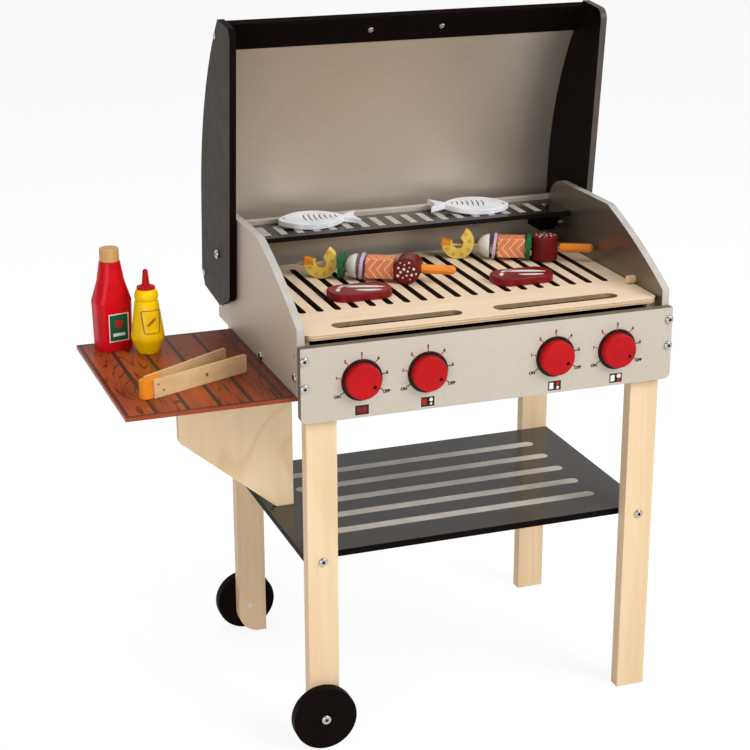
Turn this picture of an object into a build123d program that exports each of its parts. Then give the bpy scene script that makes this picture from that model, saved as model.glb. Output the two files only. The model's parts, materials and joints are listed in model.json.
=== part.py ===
"""Toy barbecue grill in wood, with its play food, tongs and sauce bottles.

The grill is built with X to the right, Y from the front panel's face towards the back and Z up from
the floor. Every piece is then moved so that the middle of the assembled grill's footprint is at the
origin. The lid stands open, which is its rest position. All sizes are in millimetres.
"""
import os
from math import cos, radians, sin, tan

from build123d import *

# Clearances
PIN_GAP = 0.06          # a turning piece round its pin, on the radius
FACE_GAP = 0.3          # a moving piece beside a fixed face
SLIDE_GAP = 1.0         # the grill plate beside the side panels

# Body
BODY_W = 506.0          # over the two side panels, and the front panel's length
BODY_D = 364.0          # from the front panel's face to the rear edge of the side panels
FRONT_T = 12.0
SIDE_T = 10.0
BACK_T = 9.0
PANEL_TOP = 548.0
PANEL_H = 97.0
PANEL_CORNER_R = 8.0
SIDE_BOTTOM = 482.0
SIDE_FRONT_TOP = 569.0
SIDE_TOP = 645.0
SIDE_SHOULDER_Y = 176.0  # where the curved front edge meets the level top edge
SIDE_BULGE = 5.5
SIDE_REAR_R = 45.0
BACK_TOP = 616.5
BASE_T = 9.0
BASE_Z = 484.0

# Legs and shelf
LEG_W = 40.0
LEG_D = 18.0
LEG_TOP = 540.0
LEG_LIFT = 1.5          # the wheeled legs end this far above the floor
LEG_TOE_R = 30.0        # rounding of a wheeled leg's outer lower corner
SHELF_TOP = 262.5
SHELF_T = 9.0

# Wheels
WHEEL_R = 42.5
WHEEL_T = 16.0
WHEEL_EDGE = 1.5
WHEEL_GAP = 1.0         # a wheel's inner face to its leg
AXLE_X = -227.0
AXLE_R = 4.0
AXLE_HEAD_R = 6.5

# Side table and its bracket
TABLE_L = 212.8         # beyond the left side panel's outer face
TABLE_FRONT = 15.0
TABLE_BACK_GAP = 52.0   # from the table's rear edge to the back panel
TABLE_T = 5.0
TABLE_SCREWS_AT = (0.2, 0.8)  # as shares of the table's depth
BRACKET_Y = 193.0
BRACKET_T = 9.0
BRACKET_OUT = 107.5     # reach of the bracket beyond the side panel's outer face
BRACKET_DROP = 105.0    # height of its vertical outer edge
BRACKET_FOOT_X = -229.0
BRACKET_IN_X = -204.5
BRACKET_R = 12.0

# Grill plate
PLATE_FRONT = 17.0
PLATE_BACK_GAP = 26.0   # from the plate's rear edge to the back panel
PLATE_T = 6.0
PLATE_BOTTOM = 551.0
PLATE_CORNER_R = 16.0
SLOT_PITCH = 23.6
SLOT_W = 9.5
SLOT_FRONT_MARGIN = 94.0  # from the plate's front edge to the slots
SLOT_REAR_MARGIN = 26.0
SLOT_SIDE_MARGIN = 20.0  # the least from a slot to the plate's side edge
FINGER_SLOT_L = 174.0
FINGER_SLOT_W = 22.0
FINGER_SLOT_X = 109.0
FINGER_SLOT_Y = 49.0
LEDGE_W = 12.0
LEDGE_T = 10.0
PEG_R = 5.4
PEG_L = 11.0
PEG_Y = 90.0
PEG_CHAMFER = 1.0

# Warming rack
RACK_TOP = 609.7
RACK_T = 6.5
RACK_D = 76.0
BLOCK_W = 24.0
BLOCK_D = 42.0
BLOCK_H = 28.0
BLOCK_IN = 31.0         # from a side panel's inner face to the block's inner face
RACK_SCREW_BACK = 29.0  # from the rack's rear edge to its screws

# Knobs
KNOB_XS = (-174.0, -87.0, 87.0, 174.0)
KNOB_Z = 500.0
KNOB_R = 22.5
KNOB_T = 12.0
KNOB_STEM_R = 5.0
KNOB_CLIP_R = 6.5
KNOB_CLIP_T = 3.0
KNOB_OFF_ANGLE = -30.0  # where a knob's dot points at OFF, from the right, seen from the front
KNOB_DOT_AT = 15.0
KNOB_DOT_R = 2.6
KNOB_DOT_DEPTH = 0.6
KNOB_EDGE_R = 2.5

# Lid, measured from its pivot with the lid closed: forward and up are positive
LID_OPEN_ANGLE = 84.3
PIVOT_BACK = 37.4       # from the side panels' rear edge to the pivots
PIVOT_DROP = 60.2       # from their top edge
LID_T = 9.0
LID_SIDE_GAP = 2.0      # between a lid side and the side panel, filled by the pivot's collar
LID_NOSE_BACK = 6.6     # from the front panel's face to the closed lid's front edge
LID_REAR = 72.0
LID_LOW = -57.0
LID_CROWN = 87.0
LID_CROWN_AT = 60.0
LID_NOSE_Z = 1.0        # top of the short straight front edge
LID_BULGE = 24.0        # of the curved front edge above its chord
LID_TAIL_TOP = (20.0, 18.0)  # chamfer of the upper rear corner
LID_TAIL_DROP = 2.0     # fall of the top edge from the crown to that chamfer
LID_TAIL_Z = -8.0       # where the lower rear taper starts
LID_TAIL_TAPER = 26.0
LID_CORNER_R = 15.0
LID_TAIL_R = 14.0
COVER_INSET = 11.0
COVER_T = 4.0
COVER_BULGE = 14.0      # of the curved sheet above its chord
COVER_SEAT = 3.0        # depth of the sheet's edge below the rail's outer face
RAIL_L = 46.0
RAIL_T = 8.0
RAIL_SETBACK = 7.0      # from the lid sides' front edge to the rail
RAIL_Z = -3.0
RAIL_SLOPE = 31.0
TAIL_RAIL = (24.0, 16.0)
TAIL_RAIL_AT = (54.0, 72.0)
HANDLE_L = 130.0
HANDLE_W = 16.0
HANDLE_T = 9.0
HANDLE_SCREW_X = 51.0
HANDLE_CHAMFER = 1.5
PIVOT_R = 4.0
PIVOT_HEAD_R = 6.5
PIVOT_HEAD_T = 3.5
PIVOT_COLLAR_R = 9.0

# Bolts and screws
BOLT_R = 2.5
BOLT_HEAD_R = 5.6
BOLT_HEAD_T = 3.0
BOLT_REACH = 26.0       # from the front panel's face to the middle of the cross dowel
DOWEL_R = 4.2
PANEL_BOLT_ZS = (532.0, 497.0)
LEG_BOLT_Z = 506.0
BASE_BOLT_Y = 167.0
LEG_BOLT_BITE = 20.0    # a side bolt's reach past the side panel
SHELF_BOLT_BITE = 22.0  # a shelf bolt's reach past the leg
SCREW_R = 1.6
SCREW_HEAD_R = 4.2
SCREW_HEAD_T = 1.2
LID_SCREW_HEAD_T = 1.6
TABLE_SCREW_BITE = 12.0
RACK_SCREW_BITE = 16.0
LID_SCREW_BITE = 14.0
HANDLE_SCREW_SHORT = 2.0  # a handle screw ends this far inside the handle

# Skewers, measured along the stick from its tip, with the stick's height above the plate
SKEWER_L = 214.0
STICK_R = 2.2
STICK_H = 18.6
SKEWER_GRIP_R = 6.2
SKEWER_GRIP_START = 168.0
SKEWER_GRIP_END_R = 5.0
PEPPER_R = 18.2
ONION_R = 18.3
SALMON = (38.0, 26.0, 27.0)
SALAMI_R = 18.0
SALAMI_L = 34.0
MUSHROOM_R = 16.5
SHRIMP_R = 22.4
SHRIMP_BORE = 8.0
SHRIMP_T = 12.0
SHRIMP_RISE = 3.8       # its middle above the stick
PEPPER_T = 6.0
PEPPER_TILT = 4.0
ONION_T = 4.0
ONION_TILT = 7.0
FOOD_EDGE_R = 1.5

SKEWER_LEFT_FROM = (224.2, 195.0)  # its grip's end, from the right side panel and the back panel
SKEWER_LEFT_TURN = -30.0
SKEWER_RIGHT_FROM = (3.4, 157.5)
SKEWER_RIGHT_TURN = -26.0

# Steaks and fish, placed by their distance in front of the back panel
STEAK_LEFT_X = -120.5
STEAK_LEFT_BACK = 204.0
STEAK_RIGHT_X = 107.5
STEAK_RIGHT_BACK = 210.0
FISH_LEFT_X = -118.4
FISH_LEFT_BACK = 53.0
FISH_LEFT_TURN = -3.4
FISH_RIGHT_X = 107.4
FISH_RIGHT_BACK = 56.0
FISH_RIGHT_TURN = -12.7
STEAK = (86.0, 48.0, 11.0)
STEAK_R = 21.0
STEAK_EDGE_R = 2.0
FISH_L = 115.0
FISH_H = 52.0
FISH_T = 8.0
FISH_TILT = 7.5
FISH_TAIL_L = 22.0
FISH_TAIL_W = 35.0
FISH_TAIL_NECK = 8.5
FISH_TAIL_NOTCH = 8.0
FISH_GIRTH_AT = 15.0    # its widest place ahead of the middle
FISH_NOSE_R = 6.0

# Bottles
KETCHUP_FROM = (44.8, 25.0)  # from the table's outer and rear edges
KETCHUP_W = 50.0
KETCHUP_D = 38.0
KETCHUP_R = 13.0
KETCHUP_TURN = 12.0
KETCHUP_BASE_W = 47.0
KETCHUP_SHOULDER = 66.0
KETCHUP_NECK_Z = 119.0
KETCHUP_NECK_R = 13.6
KETCHUP_FLAT = 0.4      # half of the flat left between round corners
CAP_R = 12.8
CAP_H = 17.0
CAP_EDGE_R = 1.5
KETCHUP_WAIST_W = 36.6
KETCHUP_WAIST_D = 31.6
MUSTARD_FROM = (84.3, 58.0)  # from the table's outer and rear edges
MUSTARD_R = 22.0
MUSTARD_FOOT_R = 13.5
MUSTARD_BELLY_Z = 23.0
MUSTARD_BELLY_H = 10.0   # height of the rounded band at the belly
MUSTARD_WAIST_Z = 69.0
MUSTARD_WAIST_R = 15.6
MUSTARD_GROOVE = 1.6    # depth and height of the groove under the collar
MUSTARD_TOP = 86.0
NOZZLE_H = 23.0
NOZZLE_DISC_R = 12.0
NOZZLE_DISC_T = 3.0
NOZZLE_FOOT_R = 5.2
NOZZLE_FOOT_H = 5.0
NOZZLE_TIP_R = 3.4

# Tongs
TONGS_FROM = (44.3, 64.5)    # from the table's outer and front edges
TONGS_TURN = 27.5
TONG_SPREAD = 4.0       # each arm's angle from the middle line
TONG_ARM_L = 145.0
TONG_ARM_T = 3.0
TONG_H = 24.0
TONG_BLOCK_L = 34.0
TONG_BLOCK_W = 15.0
TONG_BLOCK_OUT = 14.0   # how far the block shows beyond the arms' ends
TONG_TIP_R = 3.0
NAIL_R = 1.3
NAIL_HEAD_T = 0.6
NAILS_AT = ((6.0, 17.3), (14.0, 8.2))  # along the arm from its end, and up

# Values worked out from the sizes above
HALF = BODY_W / 2
SIDE_IN = HALF - SIDE_T
BACK_Y = BODY_D + BACK_T
REAR_LEG_Y = BODY_D - LEG_D
PIVOT_Y = BODY_D - PIVOT_BACK
PIVOT_Z = SIDE_TOP - PIVOT_DROP
LID_FRONT = PIVOT_Y - LID_NOSE_BACK
RAIL_TIP = (LID_FRONT - RAIL_SETBACK, RAIL_Z)
RACK_FRONT = BODY_D - RACK_D
TABLE_OUTER = -HALF - TABLE_L
TABLE_REAR = BODY_D - TABLE_BACK_GAP
TABLE_D = TABLE_REAR - TABLE_FRONT
PLATE_D = BODY_D - PLATE_BACK_GAP - PLATE_FRONT
SLOT_FRONT = PLATE_FRONT + SLOT_FRONT_MARGIN
SLOT_REAR = PLATE_FRONT + PLATE_D - SLOT_REAR_MARGIN
KETCHUP_AT = (TABLE_OUTER + KETCHUP_FROM[0], TABLE_REAR - KETCHUP_FROM[1])
MUSTARD_AT = (TABLE_OUTER + MUSTARD_FROM[0], TABLE_REAR - MUSTARD_FROM[1])
TONGS_AT = (TABLE_OUTER + TONGS_FROM[0], TABLE_FRONT + TONGS_FROM[1])
PLATE_TOP = PLATE_BOTTOM + PLATE_T
PLATE_W = 2 * (SIDE_IN - SLIDE_GAP)
SLOTS_EACH_SIDE = int((PLATE_W / 2 - SLOT_SIDE_MARGIN - SLOT_W / 2) / SLOT_PITCH)
TABLE_TOP = SIDE_BOTTOM
TABLE_BOTTOM = TABLE_TOP - TABLE_T
LID_IN = HALF + LID_SIDE_GAP
LID_OUT = LID_IN + LID_T
LEG_X = SIDE_IN - LEG_W / 2
SHELF_BOLT_Z = SHELF_TOP - SHELF_T / 2
BASE_BOLT_Z = BASE_Z + BASE_T / 2
PANEL_BOLT_X = HALF - SIDE_T / 2

nodes = {}


def block(x0, x1, y0, y1, z0, z1):
    """A box between two corners."""
    return Pos((x0 + x1) / 2, (y0 + y1) / 2, (z0 + z1) / 2) * Box(x1 - x0, y1 - y0, z1 - z0)


def rod(radius, start, end):
    """A round bar from one point to another."""
    start, end = Vector(*start), Vector(*end)
    axis = end - start
    return Plane(start, z_dir=axis) * Cylinder(
        radius, axis.length, align=(Align.CENTER, Align.CENTER, Align.MIN)
    )


def side_slab(outline, x0, x1):
    """An outline drawn with Y across and Z up, given thickness along X."""
    return extrude(Plane.YZ.offset(x0) * outline, x1 - x0)


def front_slab(outline, y0, y1):
    """An outline drawn with X across and Z up, given thickness along Y."""
    return extrude(Plane.XZ.offset(-y1) * outline, y1 - y0)


def loop(*points):
    """A closed face through straight corners."""
    return make_face(Polyline(*points, close=True))


def bolt(seat, direction, length, shank_r=BOLT_R, head_r=BOLT_HEAD_R, head_t=BOLT_HEAD_T):
    """A button-head bolt with a hexagon socket; its head sits on the seat, its shank goes inwards."""
    frame = Plane(Vector(*seat), z_dir=Vector(*direction))
    head = Cylinder(head_r, head_t, align=(Align.CENTER, Align.CENTER, Align.MAX))
    head = fillet(head.edges().sort_by(Axis.Z)[0], head_t * 0.6)
    shank = Cylinder(shank_r, length, align=(Align.CENTER, Align.CENTER, Align.MIN))
    socket = Pos(0, 0, -head_t) * extrude(RegularPolygon(head_r * 0.42, 6), head_t * 0.6)
    return frame * (head + shank - socket)


def add(name, shape):
    """Keep a finished piece under its name."""
    nodes[name] = shape


def bolts_along(seats, direction, length, radius=BOLT_R):
    """The holes that a set of equal bolts needs."""
    step = Vector(*direction).normalized() * length
    return [rod(radius, seat, tuple(Vector(*seat) + step)) for seat in seats]


def drill(shape, holes):
    """Take a list of holes out of a piece."""
    for hole in holes:
        shape = shape - hole
    return shape


# Places of the bolts
panel_bolt_seats = [(s * PANEL_BOLT_X, 0, z) for s in (-1, 1) for z in PANEL_BOLT_ZS]
panel_bolt_holes = bolts_along(panel_bolt_seats, (0, 1, 0), BOLT_REACH)
cross_dowels = {
    s: [
        rod(DOWEL_R, (s * (SIDE_IN + 1), BOLT_REACH, z), (s * (HALF - 1), BOLT_REACH, z))
        for z in PANEL_BOLT_ZS
    ]
    for s in (-1, 1)
}
shelf_bolt_seats = {
    (sx, y): (sx * LEG_X, y, SHELF_BOLT_Z) for sx in (-1, 1) for y in (FRONT_T, BODY_D)
}
shelf_bolt_length = LEG_D + SHELF_BOLT_BITE
side_bolt_rows = (FRONT_T + LEG_D / 2, REAR_LEG_Y + LEG_D / 2)
side_bolt_seats = {s: [(s * HALF, y, LEG_BOLT_Z) for y in side_bolt_rows] for s in (-1, 1)}
base_bolt_seats = {s: (s * HALF, BASE_BOLT_Y, BASE_BOLT_Z) for s in (-1, 1)}
side_bolt_length = SIDE_T + LEG_BOLT_BITE
table_screw_ys = [TABLE_FRONT + TABLE_D * f for f in TABLE_SCREWS_AT]
table_screw_length = TABLE_T + TABLE_SCREW_BITE
table_screw_seats = [(-PANEL_BOLT_X, y, TABLE_BOTTOM) for y in table_screw_ys]
rack_screw_x = SIDE_IN - BLOCK_IN + BLOCK_W / 2
rack_screw_y = BODY_D - RACK_SCREW_BACK
rack_screw_seats = [(s * rack_screw_x, rack_screw_y, RACK_TOP) for s in (-1, 1)]
rack_screw_length = RACK_T + RACK_SCREW_BITE


def front_panel():
    """The long panel that carries the knobs; its two lower corners are rounded."""
    outline = Pos(0, PANEL_TOP - PANEL_H / 2) * Rectangle(BODY_W, PANEL_H)
    outline = fillet(outline.vertices().sort_by(Axis.Y)[:2], PANEL_CORNER_R)
    panel = front_slab(outline, 0, FRONT_T)
    stems = [
        rod(KNOB_STEM_R + PIN_GAP, (x, -1, KNOB_Z), (x, FRONT_T + 1, KNOB_Z)) for x in KNOB_XS
    ]
    return drill(panel, stems + panel_bolt_holes)


def side_outline():
    """Short upright front edge, curved rise to the shoulder, level top, rounded rear corner."""
    start = (FRONT_T, SIDE_FRONT_TOP)
    shoulder = (SIDE_SHOULDER_Y, SIDE_TOP)
    middle = ((start[0] + shoulder[0]) / 2, (start[1] + shoulder[1]) / 2 + SIDE_BULGE)
    edge = ThreePointArc(start, middle, shoulder)
    rest = Polyline(
        shoulder, (BODY_D, SIDE_TOP), (BODY_D, SIDE_BOTTOM), (FRONT_T, SIDE_BOTTOM), start
    )
    face = make_face([edge] + list(rest.edges()))
    corner = face.vertices().sort_by_distance((BODY_D, SIDE_TOP, 0))[0]
    return fillet(corner, SIDE_REAR_R)


def side_panel(s):
    """One side of the body, with its bolt holes and the pivot hole."""
    x0, x1 = sorted((s * SIDE_IN, s * HALF))
    panel = side_slab(side_outline(), x0, x1)
    holes = [rod(PIVOT_R, (s * (SIDE_IN - 1), PIVOT_Y, PIVOT_Z), (s * (HALF + 1), PIVOT_Y, PIVOT_Z))]
    holes += [
        rod(DOWEL_R, (s * (SIDE_IN + 1), BOLT_REACH, z), (s * (HALF + 1), BOLT_REACH, z))
        for z in PANEL_BOLT_ZS
    ]
    holes += panel_bolt_holes
    holes += bolts_along(side_bolt_seats[s] + [base_bolt_seats[s]], (-s, 0, 0), side_bolt_length)
    if s < 0:
        holes += bolts_along(table_screw_seats, (0, 0, 1), table_screw_length, SCREW_R)
    return drill(panel, holes)


def base_board():
    """The floor of the body, notched round the four legs."""
    board = block(-SIDE_IN, SIDE_IN, FRONT_T, BODY_D, BASE_Z, BASE_Z + BASE_T)
    notches = [
        block(min(a, b), max(a, b), y, y + LEG_D, BASE_Z - 1, BASE_Z + BASE_T + 1)
        for a, b in ((-SIDE_IN, LEG_W - SIDE_IN), (SIDE_IN - LEG_W, SIDE_IN))
        for y in (FRONT_T, REAR_LEG_Y)
    ]
    bolts = [
        hole
        for s in (-1, 1)
        for hole in bolts_along([base_bolt_seats[s]], (-s, 0, 0), side_bolt_length)
    ]
    return drill(board, notches + bolts)


def leg(sx, front):
    """A leg; the two on the left end just above the floor and carry the wheels."""
    wheeled = sx < 0
    x0, x1 = sorted((sx * (SIDE_IN - LEG_W), sx * SIDE_IN))
    y0 = FRONT_T if front else REAR_LEG_Y
    foot = LEG_LIFT if wheeled else 0.0
    outline = Pos((x0 + x1) / 2, (foot + LEG_TOP) / 2) * Rectangle(LEG_W, LEG_TOP - foot)
    if wheeled:
        toe = outline.vertices().sort_by_distance((x0, foot, 0))[0]
        outline = fillet(toe, LEG_TOE_R)
    bar = front_slab(outline, y0, y0 + LEG_D)
    seat = shelf_bolt_seats[(sx, FRONT_T if front else BODY_D)]
    holes = bolts_along([seat], (0, 1 if front else -1, 0), shelf_bolt_length)
    holes += bolts_along(side_bolt_seats[sx], (-sx, 0, 0), side_bolt_length)
    if wheeled:
        holes.append(rod(AXLE_R, (AXLE_X, y0 - 1, WHEEL_R), (AXLE_X, y0 + LEG_D + 1, WHEEL_R)))
    return drill(bar, holes)


def lower_shelf():
    """The board between the front and rear legs."""
    board = block(
        -SIDE_IN, SIDE_IN, FRONT_T + LEG_D, REAR_LEG_Y, SHELF_TOP - SHELF_T, SHELF_TOP
    )
    holes = [
        bolts_along([seat], (0, 1 if y == FRONT_T else -1, 0), shelf_bolt_length)[0]
        for (sx, y), seat in shelf_bolt_seats.items()
    ]
    return drill(board, holes)


def side_table():
    """The thin table board; its inner edge lies under the left side panel."""
    board = block(TABLE_OUTER, -SIDE_IN, TABLE_FRONT, TABLE_REAR, TABLE_BOTTOM, TABLE_TOP)
    return drill(board, bolts_along(table_screw_seats, (0, 0, 1), table_screw_length, SCREW_R))


def table_bracket():
    """The plywood brace that stands on the shelf and carries the table."""
    outer = -HALF - BRACKET_OUT
    face = loop(
        (outer, TABLE_BOTTOM),
        (outer, TABLE_BOTTOM - BRACKET_DROP),
        (BRACKET_FOOT_X, SHELF_TOP),
        (BRACKET_IN_X, SHELF_TOP),
        (BRACKET_IN_X, BASE_Z),
        (-SIDE_IN + SLIDE_GAP, BASE_Z),
        (-SIDE_IN + SLIDE_GAP, TABLE_BOTTOM),
    )
    bend = face.vertices().sort_by_distance((outer, TABLE_BOTTOM - BRACKET_DROP, 0))[0]
    return front_slab(fillet(bend, BRACKET_R), BRACKET_Y, BRACKET_Y + BRACKET_T)


def wheel(front):
    """A plain black disc wheel and the bolt that it turns on."""
    if front:
        inner = FRONT_T - WHEEL_GAP
        outer = inner - WHEEL_T
        far = FRONT_T + LEG_D
    else:
        inner = BODY_D + WHEEL_GAP
        outer = inner + WHEEL_T
        far = REAR_LEG_Y
    disc = rod(WHEEL_R, (AXLE_X, inner, WHEEL_R), (AXLE_X, outer, WHEEL_R))
    disc = fillet(disc.edges().filter_by(GeomType.CIRCLE), WHEEL_EDGE)
    disc = disc - rod(AXLE_R + PIN_GAP, (AXLE_X, inner, WHEEL_R), (AXLE_X, outer, WHEEL_R))
    way = 1 if front else -1
    seat = outer - way * FACE_GAP
    axle = bolt(
        (AXLE_X, seat, WHEEL_R), (0, way, 0), abs(far - seat), AXLE_R, AXLE_HEAD_R, BOLT_HEAD_T
    )
    spacer_from = inner + way * FACE_GAP
    spacer_to = spacer_from + way * (WHEEL_GAP - FACE_GAP)
    spacer = rod(AXLE_HEAD_R, (AXLE_X, spacer_from, WHEEL_R), (AXLE_X, spacer_to, WHEEL_R))
    return disc, axle + spacer


def plate_slot(length, width, x, y, along_y):
    """A round-ended hole through the grill plate."""
    outline = SlotOverall(length, width)
    if along_y:
        outline = Rot(0, 0, 90) * outline
    return extrude(Pos(x, y, PLATE_BOTTOM - 1) * outline, PLATE_T + 2)


def grill_plate():
    """The loose cooking plate with its row of slots and two long finger slots."""
    outline = Pos(0, PLATE_FRONT + PLATE_D / 2) * Rectangle(PLATE_W, PLATE_D)
    outline = fillet(outline.vertices().sort_by(Axis.Y)[:2], PLATE_CORNER_R)
    plate = extrude(Pos(0, 0, PLATE_BOTTOM) * outline, PLATE_T)
    middle = (SLOT_FRONT + SLOT_REAR) / 2
    slots = [
        plate_slot(SLOT_REAR - SLOT_FRONT, SLOT_W, i * SLOT_PITCH, middle, True)
        for i in range(-SLOTS_EACH_SIDE, SLOTS_EACH_SIDE + 1)
    ]
    grips = [
        plate_slot(FINGER_SLOT_L, FINGER_SLOT_W, s * FINGER_SLOT_X, FINGER_SLOT_Y, False)
        for s in (-1, 1)
    ]
    return drill(plate, slots + grips)


def plate_ledge(s):
    """A ledge on a side panel's inner face; the plate slides on it."""
    x0, x1 = sorted((s * SIDE_IN, s * (SIDE_IN - LEDGE_W)))
    return block(x0, x1, FRONT_T + LEG_D, REAR_LEG_Y, PLATE_BOTTOM - LEDGE_T, PLATE_BOTTOM)


def plate_peg(s):
    """A round wooden peg just above the plate; it keeps the plate from tipping when pulled out."""
    z = PLATE_TOP + FACE_GAP + PEG_R
    peg = rod(PEG_R, (s * SIDE_IN, PEG_Y, z), (s * (SIDE_IN - PEG_L), PEG_Y, z))
    tip = peg.edges().filter_by(GeomType.CIRCLE).sort_by(Axis.X)[0 if s > 0 else -1]
    return chamfer(tip, PEG_CHAMFER)


def warming_rack():
    """The board across the back, with its two screw holes."""
    board = block(-SIDE_IN, SIDE_IN, RACK_FRONT, BODY_D, RACK_TOP - RACK_T, RACK_TOP)
    return drill(board, bolts_along(rack_screw_seats, (0, 0, -1), rack_screw_length, SCREW_R))


def rack_block(s):
    """A block on the back panel that carries one end of the rack."""
    x0, x1 = sorted((s * (SIDE_IN - BLOCK_IN), s * (SIDE_IN - BLOCK_IN + BLOCK_W)))
    top = RACK_TOP - RACK_T
    body = block(x0, x1, BODY_D - BLOCK_D, BODY_D, top - BLOCK_H, top)
    return drill(body, bolts_along(rack_screw_seats, (0, 0, -1), rack_screw_length, SCREW_R))


def knob(x):
    """A turning knob with its stem, the clip behind the panel and a dot recess on its face."""
    back = -FACE_GAP
    face = back - KNOB_T
    body = rod(KNOB_R, (x, back, KNOB_Z), (x, face, KNOB_Z))
    body = fillet(body.edges().filter_by(GeomType.CIRCLE).sort_by(Axis.Y)[0], KNOB_EDGE_R)
    stem = rod(KNOB_STEM_R, (x, back, KNOB_Z), (x, FRONT_T + FACE_GAP, KNOB_Z))
    clip_y = FRONT_T + FACE_GAP
    clip = rod(KNOB_CLIP_R, (x, clip_y, KNOB_Z), (x, clip_y + KNOB_CLIP_T, KNOB_Z))
    dot_x = x + KNOB_DOT_AT * cos(radians(KNOB_OFF_ANGLE))
    dot_z = KNOB_Z + KNOB_DOT_AT * sin(radians(KNOB_OFF_ANGLE))
    dot = rod(KNOB_DOT_R, (dot_x, face - 1, dot_z), (dot_x, face + KNOB_DOT_DEPTH, dot_z))
    return body + stem + clip - dot


def pivot(s):
    """The bolt that a lid side turns on, with its collar between the lid and the body."""
    inner, outer = SIDE_IN, LID_OUT + FACE_GAP
    shaft = bolt(
        (s * outer, PIVOT_Y, PIVOT_Z), (-s, 0, 0), outer - inner, PIVOT_R, PIVOT_HEAD_R, PIVOT_HEAD_T
    )
    nut_end = inner - PIVOT_HEAD_T
    nut = rod(PIVOT_HEAD_R, (s * inner, PIVOT_Y, PIVOT_Z), (s * nut_end, PIVOT_Y, PIVOT_Z))
    collar_to = LID_IN - FACE_GAP
    collar = rod(PIVOT_COLLAR_R, (s * HALF, PIVOT_Y, PIVOT_Z), (s * collar_to, PIVOT_Y, PIVOT_Z))
    return shaft + nut + collar


def opened(shape):
    """Swing a lid piece from the closed position to the open one and move it to the pivot."""
    return Pos(0, PIVOT_Y, PIVOT_Z) * (Rot(-LID_OPEN_ANGLE, 0, 0) * shape)


def lid_outline():
    """Outline of a lid side with the lid closed, front towards negative Y."""
    front = -LID_FRONT
    crown = LID_CROWN
    rise = (front, LID_NOSE_Z)
    top = (-LID_CROWN_AT, crown)
    middle = ((front + top[0]) / 2, (rise[1] + crown) / 2 + LID_BULGE)
    arc = ThreePointArc(rise, middle, top)
    tail_start = (LID_REAR, LID_TAIL_Z)
    tail_end = (LID_REAR - LID_TAIL_TAPER, LID_LOW)
    rest = Polyline(
        top,
        (LID_REAR - LID_TAIL_TOP[0], crown - LID_TAIL_DROP),
        (LID_REAR, crown - LID_TAIL_TOP[1]),
        tail_start,
        tail_end,
        (front, LID_LOW),
        rise,
    )
    face = make_face([arc] + list(rest.edges()))
    front_corner = face.vertices().sort_by_distance((front, LID_LOW, 0))[0]
    face = fillet(front_corner, LID_CORNER_R)
    tails = [face.vertices().sort_by_distance((*at, 0))[0] for at in (tail_start, tail_end)]
    return fillet(tails, LID_TAIL_R)


def rail_point(x, along, out):
    """A point of the lid given along and out from the front rail's inner front corner."""
    slope = radians(RAIL_SLOPE)
    y = -RAIL_TIP[0] + along * cos(slope) - out * sin(slope)
    z = RAIL_TIP[1] + along * sin(slope) + out * cos(slope)
    return (x, y, z)


def rail_bar(x0, x1, along0, along1, out0, out1):
    """A bar parallel to the front rail."""
    corners = [(along0, out0), (along1, out0), (along1, out1), (along0, out1)]
    points = [rail_point(0, a, o)[1:] for a, o in corners]
    return side_slab(loop(*points), x0, x1)


lid_screw_length = LID_T + LID_SCREW_BITE
rail_screw_seats = {s: rail_point(s * LID_OUT, RAIL_L / 2, RAIL_T / 2) for s in (-1, 1)}
tail_screw_seats = {s: (s * LID_OUT, *TAIL_RAIL_AT) for s in (-1, 1)}
handle_screw_seats = [rail_point(s * HANDLE_SCREW_X, RAIL_L / 2, 0) for s in (-1, 1)]
rail_normal = (0, -sin(radians(RAIL_SLOPE)), cos(radians(RAIL_SLOPE)))
handle_screw_length = RAIL_T + HANDLE_T - HANDLE_SCREW_SHORT
end_screws = [
    hole
    for s in (-1, 1)
    for hole in bolts_along(
        [rail_screw_seats[s], tail_screw_seats[s]], (-s, 0, 0), lid_screw_length, SCREW_R
    )
]
handle_screws = bolts_along(handle_screw_seats, rail_normal, handle_screw_length, SCREW_R)


def lid_side(s):
    """One curved side of the lid, outside the body's side panel."""
    x0, x1 = sorted((s * LID_IN, s * LID_OUT))
    panel = side_slab(lid_outline(), x0, x1)
    pin = rod(PIVOT_R + PIN_GAP, (s * (LID_IN - 1), 0, 0), (s * (LID_OUT + 1), 0, 0))
    return opened(drill(panel, [pin] + end_screws))


def cover_curve(offset):
    """The path of the curved sheet at some distance inside the lid sides' outline."""
    start = rail_point(0, RAIL_L, RAIL_T - (offset - COVER_INSET) - COVER_SEAT)[1:]
    crown = (-LID_CROWN_AT, LID_CROWN - offset)
    middle = ((start[0] + crown[0]) / 2, (start[1] + crown[1]) / 2 + COVER_BULGE)
    tail = (TAIL_RAIL_AT[0] - TAIL_RAIL[0] / 2, LID_CROWN - offset - LID_TAIL_DROP)
    return ThreePointArc(start, middle, crown), Line(crown, tail)


def lid_cover():
    """The curved sheet between the lid sides, from the front rail to the rear rail."""
    outer_arc, outer_line = cover_curve(COVER_INSET)
    inner_arc, inner_line = cover_curve(COVER_INSET + COVER_T)
    face = make_face(
        [
            outer_arc,
            outer_line,
            Line(outer_line @ 1, inner_line @ 1),
            inner_line,
            inner_arc,
            Line(inner_arc @ 0, outer_arc @ 0),
        ]
    )
    return opened(side_slab(face, -LID_IN, LID_IN))


def lid_front_rail():
    """The flat rail along the lid's front, drilled for its screws."""
    bar = rail_bar(-LID_IN, LID_IN, 0, RAIL_L, 0, RAIL_T)
    return opened(drill(bar, end_screws + handle_screws))


def lid_rear_rail():
    """The bar that joins the lid sides at the rear."""
    y, z = TAIL_RAIL_AT
    w, h = TAIL_RAIL
    bar = block(-LID_IN, LID_IN, y - w / 2, y + w / 2, z - h / 2, z + h / 2)
    return opened(drill(bar, end_screws))


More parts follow.
